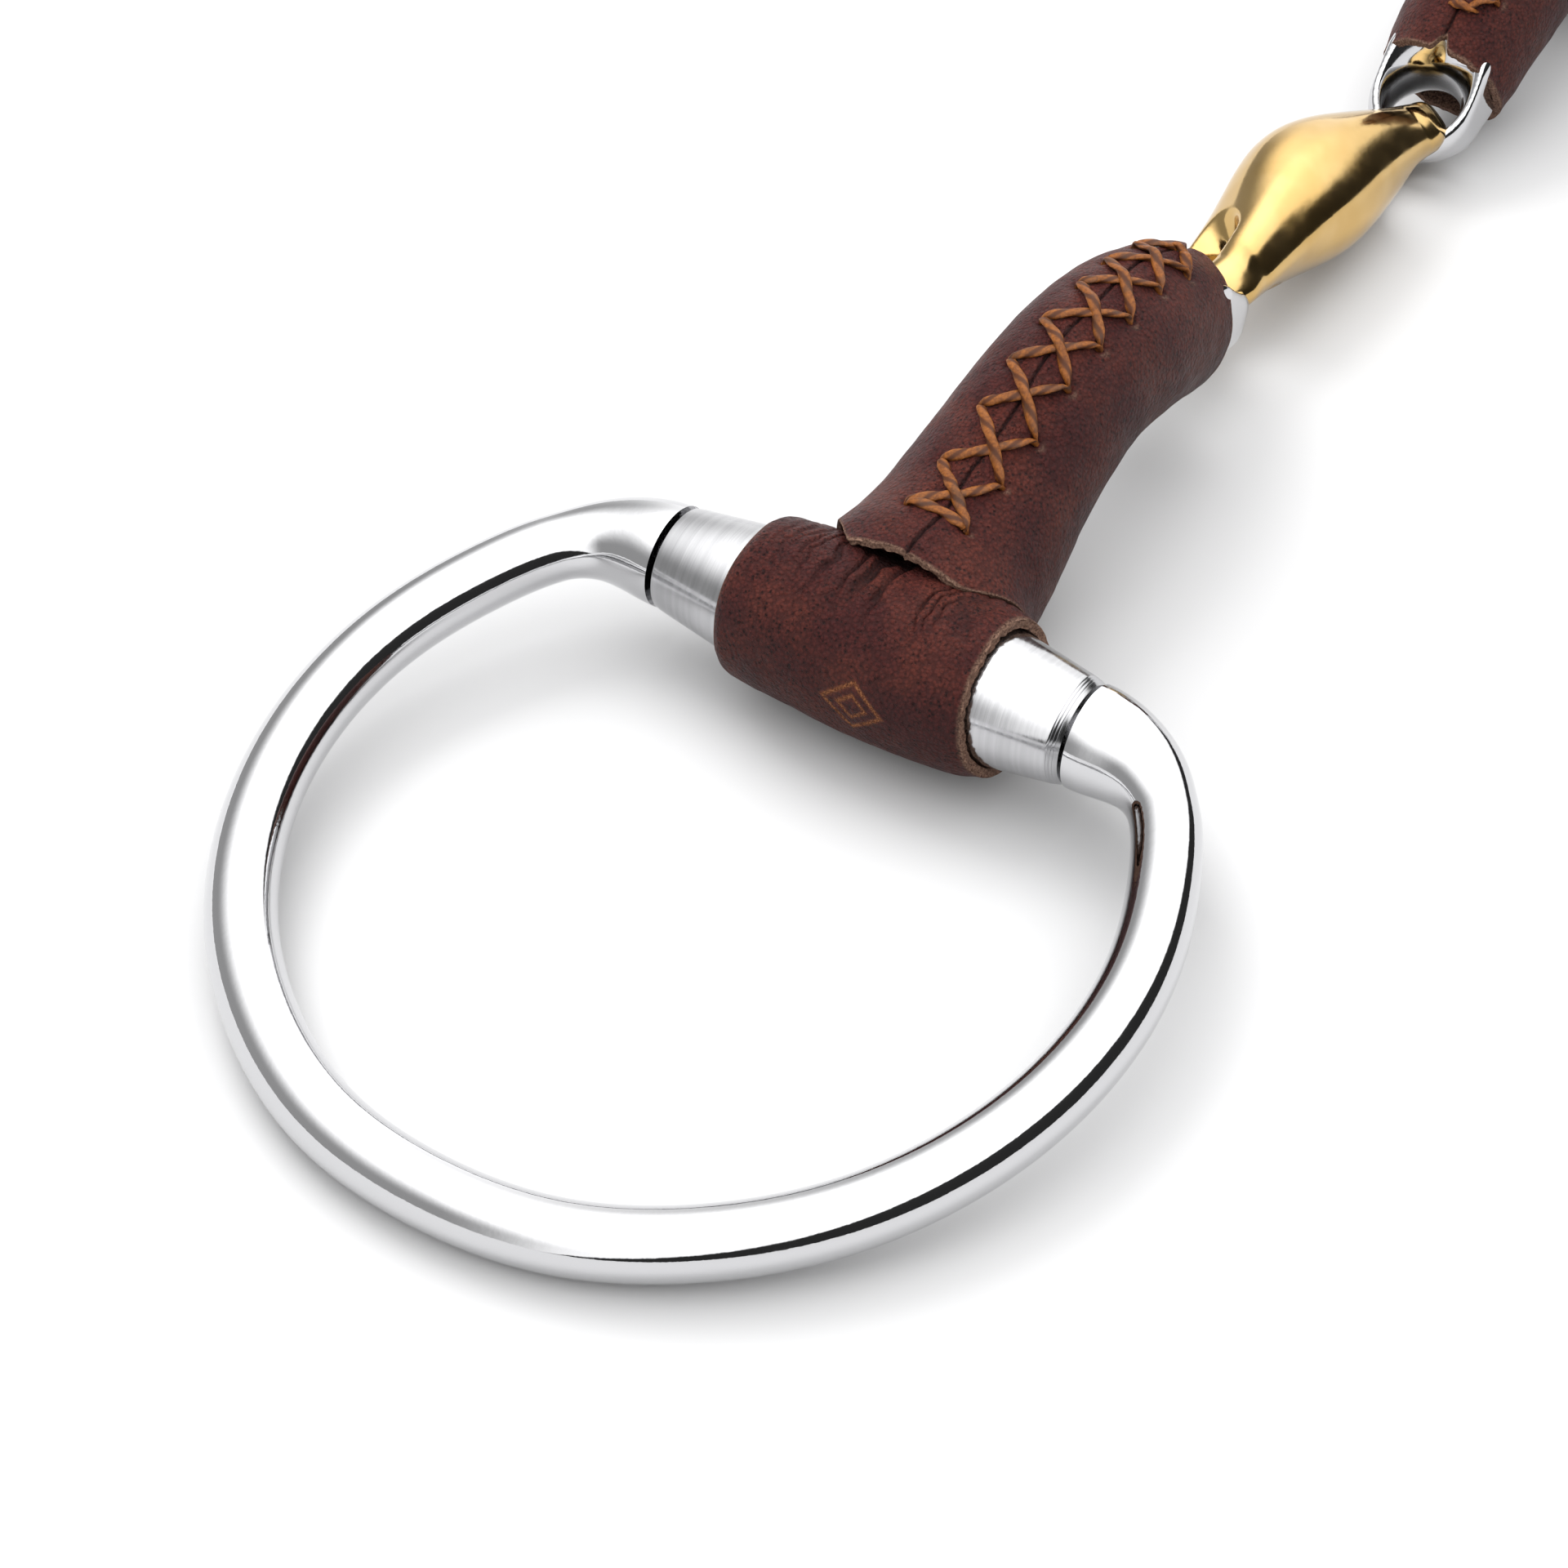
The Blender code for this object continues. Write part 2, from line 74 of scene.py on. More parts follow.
LINK_FAT = [(-18.0, 1.5), (-15.5, 1.9), (-11.8, 2.9), (-6.8, 4.5), (-3.8, 5.6), (-1.5, 6.2),
            (1.5, 6.3), (4.5, 5.8), (8.0, 4.9), (12.0, 3.8), (15.5, 2.7), (18.0, 2.0)]
LINK_DEEP = [(-18.0, 3.9), (-12.0, 4.2), (-6.0, 4.6), (0.0, 5.0), (6.0, 4.6), (12.0, 4.1),
             (18.0, 3.6)]
LINK_ROLL, LINK_TWIST = 37.0, 10.0            # degrees
LINK_TAB_R, LINK_TAB_HALF = 3.7, 1.5
LINK_HOLE_R, LINK_SLOT = 2.2, 3.4
STITCH_START, STITCH_PITCH, STITCH_CELLS, STITCH_HALF, STITCH_SHIFT = 7.0, 5.05, 7, 2.7, -0.7
STRAND_WIDE, STRAND_TALL, STRAND_LAY = 0.45, 0.26, 4.6

# Studio, in metres and unit directions
TENT_AXIS, TENT_EDGE, TENT_LIGHT = (-0.050, 0.543, 0.838), 0.02, 3.1
SOFT_SIDE = (-0.30, 0.95, 0.0)
KEY_PLACE, KEY_SIZE, KEY_POWER = (0.16, 0.55, 0.62), 0.50, 5.8
FLOOR_HALF = 1.6
CAMERA_PLACE = (-0.19573, -0.12213, 0.22502)  # from the table right under the left barrel
CAMERA_RIGHT, CAMERA_UP = (0.50931, -0.86000, 0.03158), (0.58692, 0.37396, 0.71811)
CAMERA_LENS, CAMERA_SENSOR, CAMERA_SHIFT = 94.5, 36.0, (-0.161, -0.0474)


# ---------------------------------------------------------------- numbers

def smooth(t):
    """Eased step from 0 at t = 0 to 1 at t = 1."""
    t = np.clip(t, 0.0, 1.0)
    return t * t * (3.0 - 2.0 * t)


def spline(points, count):
    """Natural cubic curve through the points, sampled evenly along its length."""
    pts = np.array(points, float)
    chord = np.linalg.norm(np.diff(pts, axis=0), axis=1)
    knots = np.concatenate([[0.0], np.cumsum(chord)])
    n = len(pts)
    mat = np.eye(n)
    rhs = np.zeros_like(pts)
    for i in range(1, n - 1):
        before, after = chord[i - 1], chord[i]
        mat[i, i - 1:i + 2] = (before, 2 * (before + after), after)
        rhs[i] = 6 * ((pts[i + 1] - pts[i]) / after - (pts[i] - pts[i - 1]) / before)
    bend = np.linalg.solve(mat, rhs)

    def at(t):
        k = np.clip(np.searchsorted(knots, t) - 1, 0, n - 2)
        h = chord[k]
        a = ((knots[k + 1] - t) / h)[:, None]
        b = ((t - knots[k]) / h)[:, None]
        curve = ((a ** 3 - a) * bend[k] + (b ** 3 - b) * bend[k + 1]) * (h ** 2 / 6)[:, None]
        return a * pts[k] + b * pts[k + 1] + curve

    fine = at(np.linspace(0.0, knots[-1], 200 * n))
    run = np.concatenate([[0.0], np.cumsum(np.linalg.norm(np.diff(fine, axis=0), axis=1))])
    want = np.linspace(0.0, run[-1], count)
    return np.stack([np.interp(want, run, fine[:, k]) for k in range(pts.shape[1])], axis=1)


def rows(table, x, reach=2.0):
    """A size table read at x, both in millimetres, with its corners rounded off over reach."""
    keys, values = np.array(table).T
    near = np.linspace(-reach, reach, 9)
    return sum(np.interp(x + step, keys, values) for step in near) / len(near)


def lattice(cell, seed):
    """Repeatable random number from 0 to 1 for each whole-number cell."""
    h = cell[..., 0] * 374761393 + cell[..., 1] * 668265263 + cell[..., 2] * 2147483647
    h = h + seed * 974634777
    h = (h ^ (h >> 13)) * 1274126177
    return ((h ^ (h >> 16)) & 0xFFFFFF) / float(0xFFFFFF)


def noise(p, scale, seed=0):
    """Smooth noise from -1 to 1 at points p (millimetres), with features about scale across."""
    q = np.asarray(p, float) / scale
    base = np.floor(q).astype(np.int64)
    f = q - base
    f = f * f * (3.0 - 2.0 * f)
    total = 0.0
    for dx in (0, 1):
        for dy in (0, 1):
            for dz in (0, 1):
                weight = np.ones(q.shape[:-1])
                for axis, d in enumerate((dx, dy, dz)):
                    weight = weight * (f[..., axis] if d else 1.0 - f[..., axis])
                total = total + weight * lattice(base + np.array([dx, dy, dz]), seed)
    return 2.0 * total - 1.0


def bump(x, middle, width):
    """Bell curve of height 1."""
    return np.exp(-((x - middle) / width) ** 2)


# ---------------------------------------------------------------- meshes

def new_object(name, points, faces, material, sharp=38.0):
    mesh = bpy.data.meshes.new(name)
    mesh.from_pydata((np.asarray(points) * MM).tolist(), [], faces)
    mesh.validate()
    mesh.update()
    mesh.materials.append(material)
    mesh.shade_smooth()
    mesh.set_sharp_from_angle(angle=math.radians(sharp))
    ob = bpy.data.objects.new(name, mesh)
    bpy.context.collection.objects.link(ob)
    return ob


def tube(name, rings, material, closed=False, sharp=38.0):
    """Skin through rings, an array (rings, points round, 3); open tubes are capped."""
    n, m = rings.shape[:2]
    index = np.arange(n * m).reshape(n, m)
    if closed:
        index = np.vstack([index, index[:1]])
    nxt = np.roll(index, -1, axis=1)
    quads = np.stack([index[:-1], nxt[:-1], nxt[1:], index[1:]], axis=-1).reshape(-1, 4)
    points = rings.reshape(-1, 3)
    faces = quads.tolist()
    if not closed:
        faces += [list(range(m))[::-1], list(range((n - 1) * m, n * m))]
    probe = signed_volume(points, quads)
    if probe < 0:
        faces = [f[::-1] for f in faces]
    return new_object(name, points, faces, material, sharp)


def signed_volume(points, quads):
    """Six times the volume that the quads close in, negative if they face inwards."""
    centre = points.mean(axis=0)
    p = points[quads] - centre
    return float(np.einsum("ij,ij->i", p[:, 0], np.cross(p[:, 1], p[:, 2])).sum()
                 + np.einsum("ij,ij->i", p[:, 0], np.cross(p[:, 2], p[:, 3])).sum())


def tag(ob, name, values):
    """Number for each point, read by the materials."""
    attribute = ob.data.attributes.new(name, "FLOAT", "POINT")
    attribute.data.foreach_set("value", np.asarray(values, np.float32).ravel())


def isosurface(field, low, high, cell):
    """Points and faces of the surface where field(points) is zero, by surface nets pulled on to it."""
    axes = [np.arange(a, b + cell, cell) for a, b in zip(low, high)]
    grid = np.stack(np.meshgrid(*axes, indexing="ij"), axis=-1)
    value = field(grid.reshape(-1, 3)).reshape(grid.shape[:3])
    inside = value < 0
    shape = tuple(s - 1 for s in inside.shape)
    count = np.zeros(shape, int)
    for dx in (0, 1):
        for dy in (0, 1):
            for dz in (0, 1):
                count += inside[dx:dx + shape[0], dy:dy + shape[1], dz:dz + shape[2]]
    active = (count > 0) & (count < 8)
    label = -np.ones(shape, int)
    label[active] = np.arange(active.sum())
    points = grid[:-1, :-1, :-1][active] + cell / 2.0
    for _ in range(6):
        here = field(points)
        slope = np.stack([(field(points + d) - field(points - d)) / (0.1 * cell)
                          for d in np.eye(3) * 0.05 * cell], axis=-1)
        step = slope * (here / np.maximum((slope ** 2).sum(axis=1), 1e-6))[:, None]
        size = np.linalg.norm(step, axis=1, keepdims=True)
        points = points - step * np.minimum(1.0, 0.5 * cell / np.maximum(size, 1e-9))
    faces = []
    for axis in range(3):
        a, b = [k for k in range(3) if k != axis]
        first = [slice(None)] * 3
        second = [slice(None)] * 3
        first[axis], second[axis] = slice(0, -1), slice(1, None)
        flips = inside[tuple(first)] != inside[tuple(second)]
        ijk = np.argwhere(flips)
        ijk = ijk[(ijk[:, a] > 0) & (ijk[:, b] > 0) & (ijk[:, a] < shape[a]) & (ijk[:, b] < shape[b])]
        corner = []
        for da, db in ((1, 1), (0, 1), (0, 0), (1, 0)):
            at = ijk.copy()
            at[:, a] -= da
            at[:, b] -= db
            corner.append(label[at[:, 0], at[:, 1], at[:, 2]])
        quad = np.stack(corner, axis=-1)
        leaving = inside[tuple(first)][tuple(ijk.T)]
        turn = leaving if axis != 1 else ~leaving
        quad[~turn] = quad[~turn][:, ::-1]
        faces.append(quad)
    return points, np.vstack(faces).tolist()


def smooth_min(a, b, k):
    """Union of two fields, blended over k millimetres."""
    h = np.clip(0.5 + 0.5 * (b - a) / k, 0.0, 1.0)
    return b + (a - b) * h - k * h * (1.0 - h)


def smooth_max(a, b, k):
    """Overlap of two fields, blended over k millimetres."""
    return -smooth_min(-a, -b, k)


# ---------------------------------------------------------------- the two halves

class Half:
    """Left or right half, placed by its two joints."""

    def __init__(self, word):
        self.word = word
        self.sign = -1.0 if word == "left" else 1.0
        self.barrel = np.array(JOINTS[word + "_cheek"]["pos_m"]) / MM
        self.pin = np.array(JOINTS[word + "_link"]["pos_m"]) / MM
        level = math.atan2(PIN_Z - BARREL_Z, PIN_U)
        now = math.atan2(self.pin[2] - self.barrel[2], abs(self.pin[0] - self.barrel[0]))
        self.turn = (math.cos(now - level), math.sin(now - level))

    def arm(self, points):
        """Points (u, y, z) of the level arm, where they lie."""
        p = np.asarray(points, float)
        c, s = self.turn
        rise = p[..., 2] - BARREL_Z
        out = np.stack([-self.sign * (c * p[..., 0] - s * rise), p[..., 1],
                        s * p[..., 0] + c * rise], axis=-1)
        return self.barrel + out

    def cheek(self, points):
        """Points (outwards, along the barrel, above the ring's plane) of the tilted ring."""
        p = np.asarray(points, float)
        c, s = math.cos(RING_TILT), math.sin(RING_TILT)
        out = np.stack([self.sign * (p[..., 0] * c + p[..., 2] * s), p[..., 1],
                        p[..., 2] * c - p[..., 0] * s], axis=-1)
        return self.barrel + out

    def round_barrel(self, angle, radius, along):
        """Points round the barrel: angle from straight up, turning outwards."""
        out = np.stack([self.sign * radius * np.sin(angle), along + 0.0 * angle,
                        radius * np.cos(angle)], axis=-1)
        return self.barrel + out


def arm_frame(u):
    """Height of the arm's centre line and its unit tangent at distances u."""
    line = spline(ARM_LINE, 900)
    slope = np.gradient(line, axis=0)
    slope /= np.linalg.norm(slope, axis=1)[:, None]
    z = np.interp(u, line[:, 0], line[:, 1])
    tu = np.interp(u, line[:, 0], slope[:, 0])
    tz = np.interp(u, line[:, 0], slope[:, 1])
    beyond = np.maximum(u - line[-1, 0], 0.0)
    return z + beyond * slope[-1, 1] / slope[-1, 0], tu, tz


# ---------------------------------------------------------------- materials

RANGE_SOCKETS = ("From Min", "From Max", "To Min", "To Max")


class Shader:
    """Short way to wire one material's nodes."""

    def __init__(self, name):
        self.material = bpy.data.materials.new(name)
        self.material.use_nodes = True
        self.tree = self.material.node_tree
        self.bsdf = self.tree.nodes["Principled BSDF"]
        coords = self.node("ShaderNodeTexCoord")
        scale = self.node("ShaderNodeVectorMath", operation="SCALE")
        self.link(coords.outputs["Object"], scale.inputs[0])
        scale.inputs["Scale"].default_value = 1.0 / MM
        self.mm = scale.outputs[0]

    def node(self, kind, **settings):
        node = self.tree.nodes.new(kind)
        for key, value in settings.items():
            setattr(node, key, value)
        return node

    def link(self, out, into):
        self.tree.links.new(out, into)

    def noise(self, scale, detail=2.0, rough=0.5, vector=None):
        node = self.node("ShaderNodeTexNoise")
        node.inputs["Scale"].default_value = scale
        node.inputs["Detail"].default_value = detail
        node.inputs["Roughness"].default_value = rough
        self.link(vector or self.mm, node.inputs["Vector"])
        return node.outputs["Fac"]

    def cells(self, scale):
        """Distance from the middle of the nearest of scale cells a millimetre."""
        node = self.node("ShaderNodeTexVoronoi")
        node.inputs["Scale"].default_value = scale
        self.link(self.mm, node.inputs["Vector"])
        return node.outputs["Distance"]

    def stretch(self, factors):
        """Place in millimetres, drawn out by a factor along each axis."""
        node = self.node("ShaderNodeVectorMath", operation="MULTIPLY")
        self.link(self.mm, node.inputs[0])
        node.inputs[1].default_value = factors
        return node.outputs[0]

    def ramp(self, value, low, high, to_low=0.0, to_high=1.0):
        node = self.node("ShaderNodeMapRange", interpolation_type="SMOOTHSTEP")
        self.link(value, node.inputs["Value"])
        for key, number in zip(RANGE_SOCKETS, (low, high, to_low, to_high)):
            node.inputs[key].default_value = number
        return node.outputs["Result"]

    def math(self, operation, a, b):
        node = self.node("ShaderNodeMath", operation=operation)
        for slot, value in enumerate((a, b)):
            if isinstance(value, (int, float)):
                node.inputs[slot].default_value = value
            else:
                self.link(value, node.inputs[slot])
        return node.outputs[0]

    def mix(self, factor, a, b):
        node = self.node("ShaderNodeMix", data_type="RGBA")
        self.feed(node.inputs["Factor"], factor)
        for key, value in (("A", a), ("B", b)):
            socket = [s for s in node.inputs if s.name == key and s.type == "RGBA"][0]
            self.feed(socket, (*value, 1.0) if isinstance(value, tuple) else value)
        return [s for s in node.outputs if s.type == "RGBA"][0]

    def feed(self, socket, value):
        if isinstance(value, (int, float, tuple)):
            socket.default_value = value
        else:
            self.link(value, socket)

    def attribute(self, name):
        node = self.node("ShaderNodeAttribute", attribute_name=name)
        return node.outputs["Fac"]

    def relief(self, height, depth, strength=1.0, under=None):
        """Bump of the given depth in millimetres, over another one if given."""
        node = self.node("ShaderNodeBump")
        node.inputs["Distance"].default_value = depth * MM
        node.inputs["Strength"].default_value = strength
        self.link(height, node.inputs["Height"])
        if under is not None:
            self.link(under, node.inputs["Normal"])
        return node.outputs["Normal"]

    def finish(self, **sockets):
        for key, value in sockets.items():
            if isinstance(value, tuple):
                value = (*value, 1.0)
            self.feed(self.bsdf.inputs[key.replace("_", " ")], value)
        return self.material


def steel_material():
    s = Shader("polished_steel")
    haze = s.ramp(s.noise(0.35, 3.0), 0.35, 0.75, 0.035, 0.075)
    swirl = s.noise(1.3, 2.0, 0.6)
    normal = s.relief(swirl, 0.006)
    return s.finish(Base_Color=(0.60, 0.60, 0.61), Metallic=1.0, Roughness=haze, Normal=normal)


def eye_material():
    """Polished steel with painted shade down the eye's hole: a dark base colour there, and a rougher
    finish.
    """
    s = Shader("eye_steel")
    bore = s.attribute("bore")
    # dark base colour inside the hole: painted shade
    tone = s.mix(bore, (0.58, 0.58, 0.59), (0.050, 0.050, 0.053))
    haze = s.ramp(s.noise(0.35, 3.0), 0.35, 0.75, 0.05, 0.09)
    haze = s.math("ADD", s.math("MULTIPLY", bore, 0.30), haze)
    return s.finish(Base_Color=tone, Metallic=1.0, Roughness=haze)


def turned_steel_material():
    """Satin steel with faint lines left round the axis by the lathe."""
    s = Shader("turned_steel")
    lines = s.noise(1.0, 3.0, 0.6, s.stretch((0.05, 5.0, 0.05)))
    haze = s.ramp(lines, 0.3, 0.7, 0.10, 0.20)
    streak = s.ramp(s.noise(0.5, 2.0, 0.5, s.stretch((0.06, 5.0, 0.06))), 0.3, 0.7)
    tone = s.mix(streak, (0.45, 0.45, 0.46), (0.51, 0.51, 0.52))
    return s.finish(Base_Color=tone, Metallic=1.0, Roughness=haze, Normal=s.relief(lines, 0.006))


def brass_material():
    s = Shader("polished_brass")
    tone = s.mix(s.ramp(s.noise(0.25, 2.0), 0.35, 0.7), (0.57, 0.39, 0.160), (0.53, 0.35, 0.130))
    haze = s.ramp(s.noise(0.6, 3.0), 0.35, 0.75, 0.11, 0.16)
    normal = s.relief(s.noise(0.9, 2.0), 0.004)
    return s.finish(Base_Color=tone, Metallic=1.0, Roughness=haze, Normal=normal)


def leather_material(name, pore_depth):
    """Dyed full-grain leather: blotchy dye, grain cells and pores with painted shade in their valleys
    and pits, painted shade in creases, and a raw, fibrous cut edge.
    """
    s = Shader(name)
    blotch = s.ramp(s.noise(0.16, 4.0, 0.55), 0.35, 0.68)
    dye = s.mix(blotch, (0.054, 0.0097, 0.0088), (0.097, 0.0215, 0.0139))
    fine = s.ramp(s.noise(2.2, 4.0, 0.65), 0.3, 0.7)
    dye = s.mix(s.math("MULTIPLY", fine, 0.22), dye, (0.018, 0.0040, 0.0042))
    pores = s.ramp(s.cells(2.2), 0.16, 0.36)
    where = s.ramp(s.noise(0.22, 2.0), 0.28, 0.55)
    pore_shade = s.math("MULTIPLY", s.math("SUBTRACT", 1.0, pores), where)
    # pores darkened: painted shade in the pits
    dye = s.mix(s.math("MULTIPLY", pore_shade, 0.75), dye, (0.006, 0.0016, 0.0016))
    pebble_valley_shade = s.ramp(s.cells(2.7), 0.35, 0.62)
    # darker towards the grain cells' edges: painted shade in the valleys between them
    dye = s.mix(s.math("MULTIPLY", pebble_valley_shade, 0.42), dye, (0.010, 0.0028, 0.0030))
    # painted shade in the wrap's pull-line creases and along the sleeve's seam groove
    dye = s.mix(s.math("MULTIPLY", s.attribute("crease_shade"), 0.9), dye, (0.006, 0.0016, 0.0018))
    raw = s.attribute("raw")
    fibre = s.noise(5.5, 4.0, 0.75)
    flesh = s.mix(s.ramp(fibre, 0.32, 0.68), (0.040, 0.018, 0.013), (0.21, 0.125, 0.088))
    colour = s.mix(raw, dye, flesh)
    mark = s.attribute("mark")
    burnt = s.mix(s.ramp(s.noise(7.0, 3.0, 0.7), 0.4, 0.62), (0.09, 0.026, 0.010), (0.33, 0.130, 0.052))
    colour = s.mix(mark, colour, burnt)
    grain = s.relief(s.math("SUBTRACT", 1.0, s.cells(2.7)), 0.30, 0.9)
    grain = s.relief(s.noise(1.3, 5.0, 0.7), 0.20, 0.6, grain)
    grain = s.relief(pores, pore_depth, 0.8, grain)
    rough_edge = s.relief(fibre, 0.25, 0.9, grain)
    mixer = s.node("ShaderNodeMix", data_type="VECTOR")
    s.link(raw, mixer.inputs["Factor"])
    vectors = [k for k in mixer.inputs if k.type == "VECTOR"]
    s.link(grain, vectors[0])
    s.link(rough_edge, vectors[1])
    normal = [k for k in mixer.outputs if k.type == "VECTOR"][0]
    gloss = s.ramp(s.noise(0.5, 3.0), 0.3, 0.7, 0.40, 0.52)
    gloss = s.math("ADD", gloss, s.math("MULTIPLY", s.math("MAXIMUM", raw, mark), 0.4))
    return s.finish(Base_Color=colour, Roughness=gloss, Normal=normal, Specular_IOR_Level=0.15)


def thread_material():
    s = Shader("waxed_thread")
    ply = s.attribute("ply")
    streak = s.ramp(s.noise(3.0, 4.0, 0.7), 0.35, 0.65)
    wax = s.mix(streak, (0.100, 0.030, 0.0055), (0.190, 0.062, 0.011))
    # darker in the grooves between the two plies: painted shade
    colour = s.mix(s.ramp(ply, 0.55, 0.05), wax, (0.050, 0.014, 0.0035))
    stain = s.ramp(s.noise(0.7, 3.0), 0.52, 0.66)
    colour = s.mix(s.math("MULTIPLY", stain, 0.55), colour, (0.045, 0.022, 0.013))
    normal = s.relief(s.noise(6.0, 3.0, 0.7), 0.05, 0.6)
    return s.finish(Base_Color=colour, Roughness=0.5, Normal=normal, Specular_IOR_Level=0.2)


def floor_material():
    s = Shader("studio_table")
    return s.finish(Base_Color=(0.46, 0.46, 0.463), Roughness=1.0, Specular_IOR_Level=0.0)


# ---------------------------------------------------------------- metal

def cheek_ring(half, steel):
    """Bar bent to a rounded D, thickened to shoulders, with the turned spigots at its ends."""
    outline = RING_HALF + [(x, -y) for x, y in RING_HALF[-2::-1]]
    line = spline(outline, 420)
    slope = np.gradient(line, axis=0)
    slope /= np.linalg.norm(slope, axis=1)[:, None]
    slope[0] = (0.0, 1.0)
    slope[-1] = (0.0, 1.0)
    run = np.concatenate([[0.0], np.cumsum(np.linalg.norm(np.diff(line, axis=0), axis=1))])
    near = np.minimum(run, run[-1] - run)
    radius = RING_SHOULDER_R + (RING_BAR_R - RING_SHOULDER_R) * smooth(near / RING_SHOULDER_RUN)
    face = line[0, 1]
    lip = 0.18
    ends = [(face - SPIGOT_LENGTH, SPIGOT_R * 0.8), (face - SPIGOT_LENGTH + 0.4, SPIGOT_R),
            (face - 0.01, SPIGOT_R), (face, RING_SHOULDER_R - lip)]
    turn = 2.0 * math.pi * (np.arange(72) + 0.5) / 72
    rings = []
    for along, r in ends:
        rings.append(ring_section(0.0, along, (0.0, 1.0), r, turn))
    for (out, along), tangent, r in zip(line, slope, radius):
        rings.append(ring_section(out, along, tangent, r, turn))
    for along, r in ends[::-1]:
        rings.append(ring_section(0.0, -along, (0.0, 1.0), r, turn))
    rings = np.array(rings)
    first, last = len(ends), len(rings) - len(ends) - 1
    tidy_inner_corner(rings, first, last)
    ob = tube("cheek_ring_%s_polished" % half.word, half.cheek(rings), steel, sharp=50.0)
    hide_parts("cheek_ring_" + half.word)
    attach(ob, half.word + "_ring")


def ring_section(out, along, tangent, radius, turn):
    """Circle across the bar, in ring terms (outwards, along the barrel, above the plane)."""
    across = np.array([tangent[1], -tangent[0], 0.0])
    return (np.array([out, along, 0.0]) + radius * np.cos(turn)[:, None] * across
            + radius * np.sin(turn)[:, None] * np.array([0.0, 0.0, 1.0]))


def tidy_inner_corner(rings, first, last):
    """Where the tight bend folds the skin over itself, the folded rows move on to the crease."""
    bend = 70
    for k in range(rings.shape[1]):
        path = rings[first:last + 1, k, :2]
        for low, high in ((0, bend), (len(path) - 1 - bend, len(path) - 1)):
            hit = crossing(path, low, high)
            if hit:
                i, j, point = hit
                rings[first + i + 1:first + j + 1, k, :2] = point


def crossing(path, low, high):
    """First place where the open path crosses itself between two of its points."""
    step = np.diff(path, axis=0)
    for i in range(low, high - 2):
        j = np.arange(i + 2, high)
        d = path[j] - path[i]
        cross = step[i, 0] * step[j, 1] - step[i, 1] * step[j, 0]
        cross = np.where(abs(cross) < 1e-12, 1e-12, cross)
        t = (d[:, 0] * step[j, 1] - d[:, 1] * step[j, 0]) / cross
        s = (d[:, 0] * step[i, 1] - d[:, 1] * step[i, 0]) / cross
        good = np.nonzero((t >= 0) & (t <= 1) & (s >= 0) & (s <= 1))[0]
        if len(good):
            return i, int(j[good[-1]]), path[i] + t[good[-1]] * step[i]
    return None


def barrel(half, steel):
    """Turned tube: swollen under the leather, coned to its ends, with turned lines at one end."""
    end, taper = BARREL_HALF, BARREL_TAPER
    profile = [(BORE_R, end), (BARREL_END_R - 0.30, end), (BARREL_END_R - 0.05, end - 0.12),
               (BARREL_END_R + 0.05, end - 0.5), (BARREL_MID_R, end - taper), (BARREL_MID_R, 0.0),
               (BARREL_MID_R, taper - end)]
    profile.append((BARREL_END_R + 0.12, 1.0 - end))
    for k in range(3):
        y, r = 0.85 - end - 0.24 * k, BARREL_END_R + 0.08 - 0.07 * k
        profile += [(r, y + 0.07), (r - 0.06, y), (r - 0.01, y - 0.07)]
    profile += [(BARREL_END_R - 0.30, -end), (BORE_R, -end), (BORE_R, 0.0)]
    turn = 2.0 * math.pi * np.arange(160) / 160
    rings = np.array([half.round_barrel(turn, r, y) for r, y in profile])
    ob = tube("barrel_%s" % half.word, rings, steel, closed=True, sharp=28.0)
    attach(ob, half.word + "_arm")
    return ob


def eye_field(p):
    """Arm's end in eye terms: towards the link, sideways, and across the flat of the eye."""
    a, y, h = p[:, 0], p[:, 1], p[:, 2]
    back = np.clip(-a, 0.0, 9.0)
    side = np.hypot(a + back, y) - (EYE_R + EYE_BAR - 0.3)
    thick = 1.35 + np.where(h > 0, 0.42, 0.22) * np.clip(5.0 - a, 0.0, 12.0)
    body = smooth_max(side, np.abs(h) - np.minimum(thick, 4.9), 1.8)
    lip = EYE_R - EYE_BAR + 0.2 + 0.10 * h * h
    hole = np.hypot(a * 0.97, y) - lip
    return smooth_max(body, -hole, 0.55)


